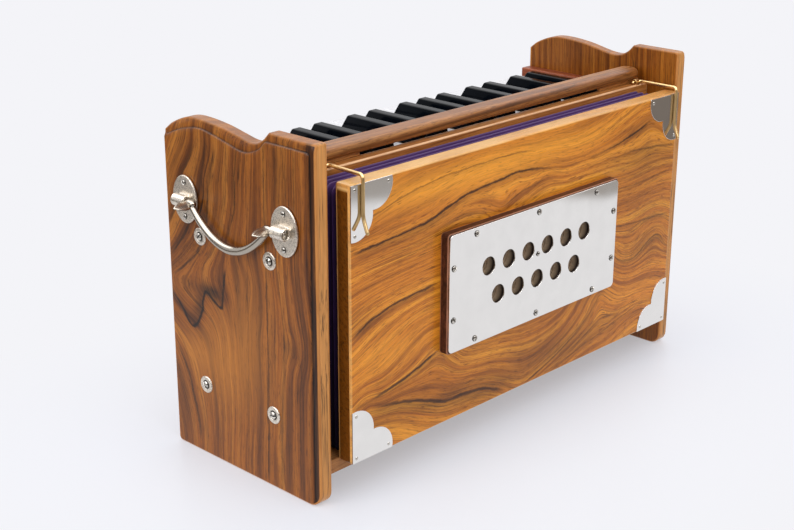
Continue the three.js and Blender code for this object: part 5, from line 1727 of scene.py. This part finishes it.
class HarmoniumColours(bpy.types.PropertyGroup):
    """Colours of the harmonium's finishes."""

    cheek: colour_property("cheek", "Cheeks", "Middle tone of the cheeks' varnished wood")
    board: colour_property("board", "Pump board", "Middle tone of the pump board's golden wood")
    frame: colour_property("frame", "Back frame", "Middle tone of the ledge behind the bellows")
    case: colour_property("case", "Case", "Middle tone of the base board and the front panel")
    rail: colour_property("rail", "Key rail", "Middle tone of the rail behind the keys")
    block: colour_property("block", "End blocks", "Middle tone of the blocks beside the keys")
    cloth: colour_property("cloth", "Bellows cloth", "Dyed cotton of the bellows")
    white_key: colour_property("white_key", "White keys", "Plastic caps of the white keys")
    black_key: colour_property("black_key", "Black keys", "Plastic of the black keys")
    nickel: colour_property("nickel", "Nickel", "Cast and plated roses and cup washers")
    sheet: colour_property("sheet", "Sheet metal", "Polished air plate and corner plates")
    bail: colour_property("bail", "Bails", "Rubbed plate of the handles' bails")
    brass: colour_property("brass", "Brass", "Wire catches, straps and springs")
    leather: colour_property("leather", "Flap leather", "Suede flap behind the air holes")
    knob: colour_property("knob", "Stop knobs", "Lacquer of the stops' knobs")


class HarmoniumSizes(bpy.types.PropertyGroup):
    """Sizes of the harmonium's detail. The large ones come from the frame."""

    cheek_rounding: length_property("Cheek edge", "Radius of the cheeks' rounded edges", 1.6, 3)
    moulding_step: length_property("Moulding step", "Depth of the step that is routed into a cheek", 1.3, 2)
    moulding_fall: length_property("Moulding fall", "Depth that the moulding falls beyond its step", 1.9, 3)
    rail_rounding: length_property("Rail edge", "Radius of the key rail's rounded edges", 4.6, 5)
    board_rounding: length_property("Board edge", "Radius of the pump board's rounded edges", 1.5, 2)
    air_hole: length_property("Air hole", "Radius of the holes in the air plate", 7.9, 8.5)
    washer: length_property("Cup washer", "Radius of the washers on the cheeks", 7.2, 9)
    catch_wire: length_property("Catch wire", "Radius of the wire catches", 1.5, 2)
    spring_wire: length_property("Key spring", "Radius of the wire that presses a key's tail", 0.55, 1)
    bail_end: length_property("Bail end", "Radius of a bail beside its eyes", 2.5, 3)
    bail_swell: length_property("Bail swell", "How much a bail's radius grows towards its middle", 1.15, 2)
    fold_depth: length_property("Fold depth", "How far the bellows' folds go in", 8.6, 10)
    folds: IntProperty(name="Folds", description="Number of folds in the bellows", default=4, min=2, max=6)


class HarmoniumStage(bpy.types.PropertyGroup):
    """Light on the harmonium."""

    world: FloatProperty(
        name="World light",
        description="Strength of the light from all round",
        default=0.9,
        min=0.0,
        max=3.0,
        subtype="FACTOR",
    )
    key_power: FloatProperty(
        name="Key lamp",
        description="Power of the large lamp over the bellows side",
        default=12.0,
        min=0.0,
        unit="POWER",
    )
    fill_power: FloatProperty(
        name="Fill lamp",
        description="Power of the lamp that faces the treble cheek",
        default=11.0,
        min=0.0,
        unit="POWER",
    )


# ---- Operators


class HARMONIUM_OT_cheeks(bpy.types.Operator):
    """Make both cheeks with their moulding and cup screws"""

    bl_idname = "harmonium.cheeks"
    bl_label = "Cheeks"

    def execute(self, context):
        build_cheeks()
        return {"FINISHED"}


class HARMONIUM_OT_case(bpy.types.Operator):
    """Make the boards between the cheeks, the end blocks, the key rail and the back frame"""

    bl_idname = "harmonium.case"
    bl_label = "Case boards"

    def execute(self, context):
        build_case()
        return {"FINISHED"}


class HARMONIUM_OT_keys(bpy.types.Operator):
    """Make the white and black keys, their levers and their springs"""

    bl_idname = "harmonium.keys"
    bl_label = "Keys"

    def execute(self, context):
        build_keys()
        build_key_springs()
        return {"FINISHED"}


class HARMONIUM_OT_pump_board(bpy.types.Operator):
    """Make the pump board with its block and corner plates"""

    bl_idname = "harmonium.pump_board"
    bl_label = "Pump board"

    def execute(self, context):
        build_pump_board()
        return {"FINISHED"}


class HARMONIUM_OT_air_plate(bpy.types.Operator):
    """Make the pierced air plate, its screws and the flap behind it"""

    bl_idname = "harmonium.air_plate"
    bl_label = "Air plate"

    def execute(self, context):
        build_air_plate()
        return {"FINISHED"}


class HARMONIUM_OT_bellows(bpy.types.Operator):
    """Make the folded cloth of the bellows and of the reservoir"""

    bl_idname = "harmonium.bellows"
    bl_label = "Bellows"

    def execute(self, context):
        build_bellows()
        build_reservoir()
        return {"FINISHED"}


class HARMONIUM_OT_catches(bpy.types.Operator):
    """Make the two wire catches"""

    bl_idname = "harmonium.catches"
    bl_label = "Wire catches"

    def execute(self, context):
        build_catches()
        return {"FINISHED"}


class HARMONIUM_OT_handles(bpy.types.Operator):
    """Make the drop handles and their roses"""

    bl_idname = "harmonium.handles"
    bl_label = "Handles"

    def execute(self, context):
        build_handles()
        return {"FINISHED"}


class HARMONIUM_OT_stops(bpy.types.Operator):
    """Make the stops and give the reeds and inner boards their finish"""

    bl_idname = "harmonium.stops"
    bl_label = "Stops and reeds"

    def execute(self, context):
        build_stops()
        build_reeds()
        return {"FINISHED"}


class HARMONIUM_OT_stage(bpy.types.Operator):
    """Set up the floor, the light and the camera"""

    bl_idname = "harmonium.stage"
    bl_label = "Stage"

    def execute(self, context):
        settings = context.scene.harmonium_stage
        context.scene.view_settings.view_transform = "Standard"
        build_camera()
        build_floor()
        build_world(settings.world)
        soft_lamp("lamp_over_bellows", (0.2, 1.5, 1.9), 1.6, settings.key_power)
        soft_lamp("lamp_on_treble_cheek", (2.0, -0.3, 1.0), 1.4, settings.fill_power)
        return {"FINISHED"}


STEPS = (
    HARMONIUM_OT_cheeks,
    HARMONIUM_OT_case,
    HARMONIUM_OT_keys,
    HARMONIUM_OT_pump_board,
    HARMONIUM_OT_air_plate,
    HARMONIUM_OT_bellows,
    HARMONIUM_OT_catches,
    HARMONIUM_OT_handles,
    HARMONIUM_OT_stops,
    HARMONIUM_OT_stage,
)


class HARMONIUM_PT_panel(bpy.types.Panel):
    """The harmonium's settings and steps"""

    bl_label = "Harmonium"
    bl_idname = "HARMONIUM_PT_panel"
    bl_space_type = "VIEW_3D"
    bl_region_type = "UI"
    bl_category = "Harmonium"

    def draw(self, context):
        column = self.layout.column()
        for step in STEPS:
            column.operator(step.bl_idname)
        scene = context.scene
        for group in (scene.harmonium_sizes, scene.harmonium_colours, scene.harmonium_stage):
            for name in type(group).__annotations__:
                column.prop(group, name)


GROUPS = {
    "harmonium_sizes": HarmoniumSizes,
    "harmonium_colours": HarmoniumColours,
    "harmonium_stage": HarmoniumStage,
}
CLASSES = (*GROUPS.values(), *STEPS, HARMONIUM_PT_panel)


def register():
    for cls in CLASSES:
        bpy.utils.register_class(cls)
    for name, group in GROUPS.items():
        setattr(bpy.types.Scene, name, PointerProperty(type=group))


def unregister():
    for name in GROUPS:
        delattr(bpy.types.Scene, name)
    for cls in reversed(CLASSES):
        bpy.utils.unregister_class(cls)


def main():
    register()
    for step in STEPS:
        family, name = step.bl_idname.split(".")
        getattr(getattr(bpy.ops, family), name)()


if __name__ == "__main__":
    main()
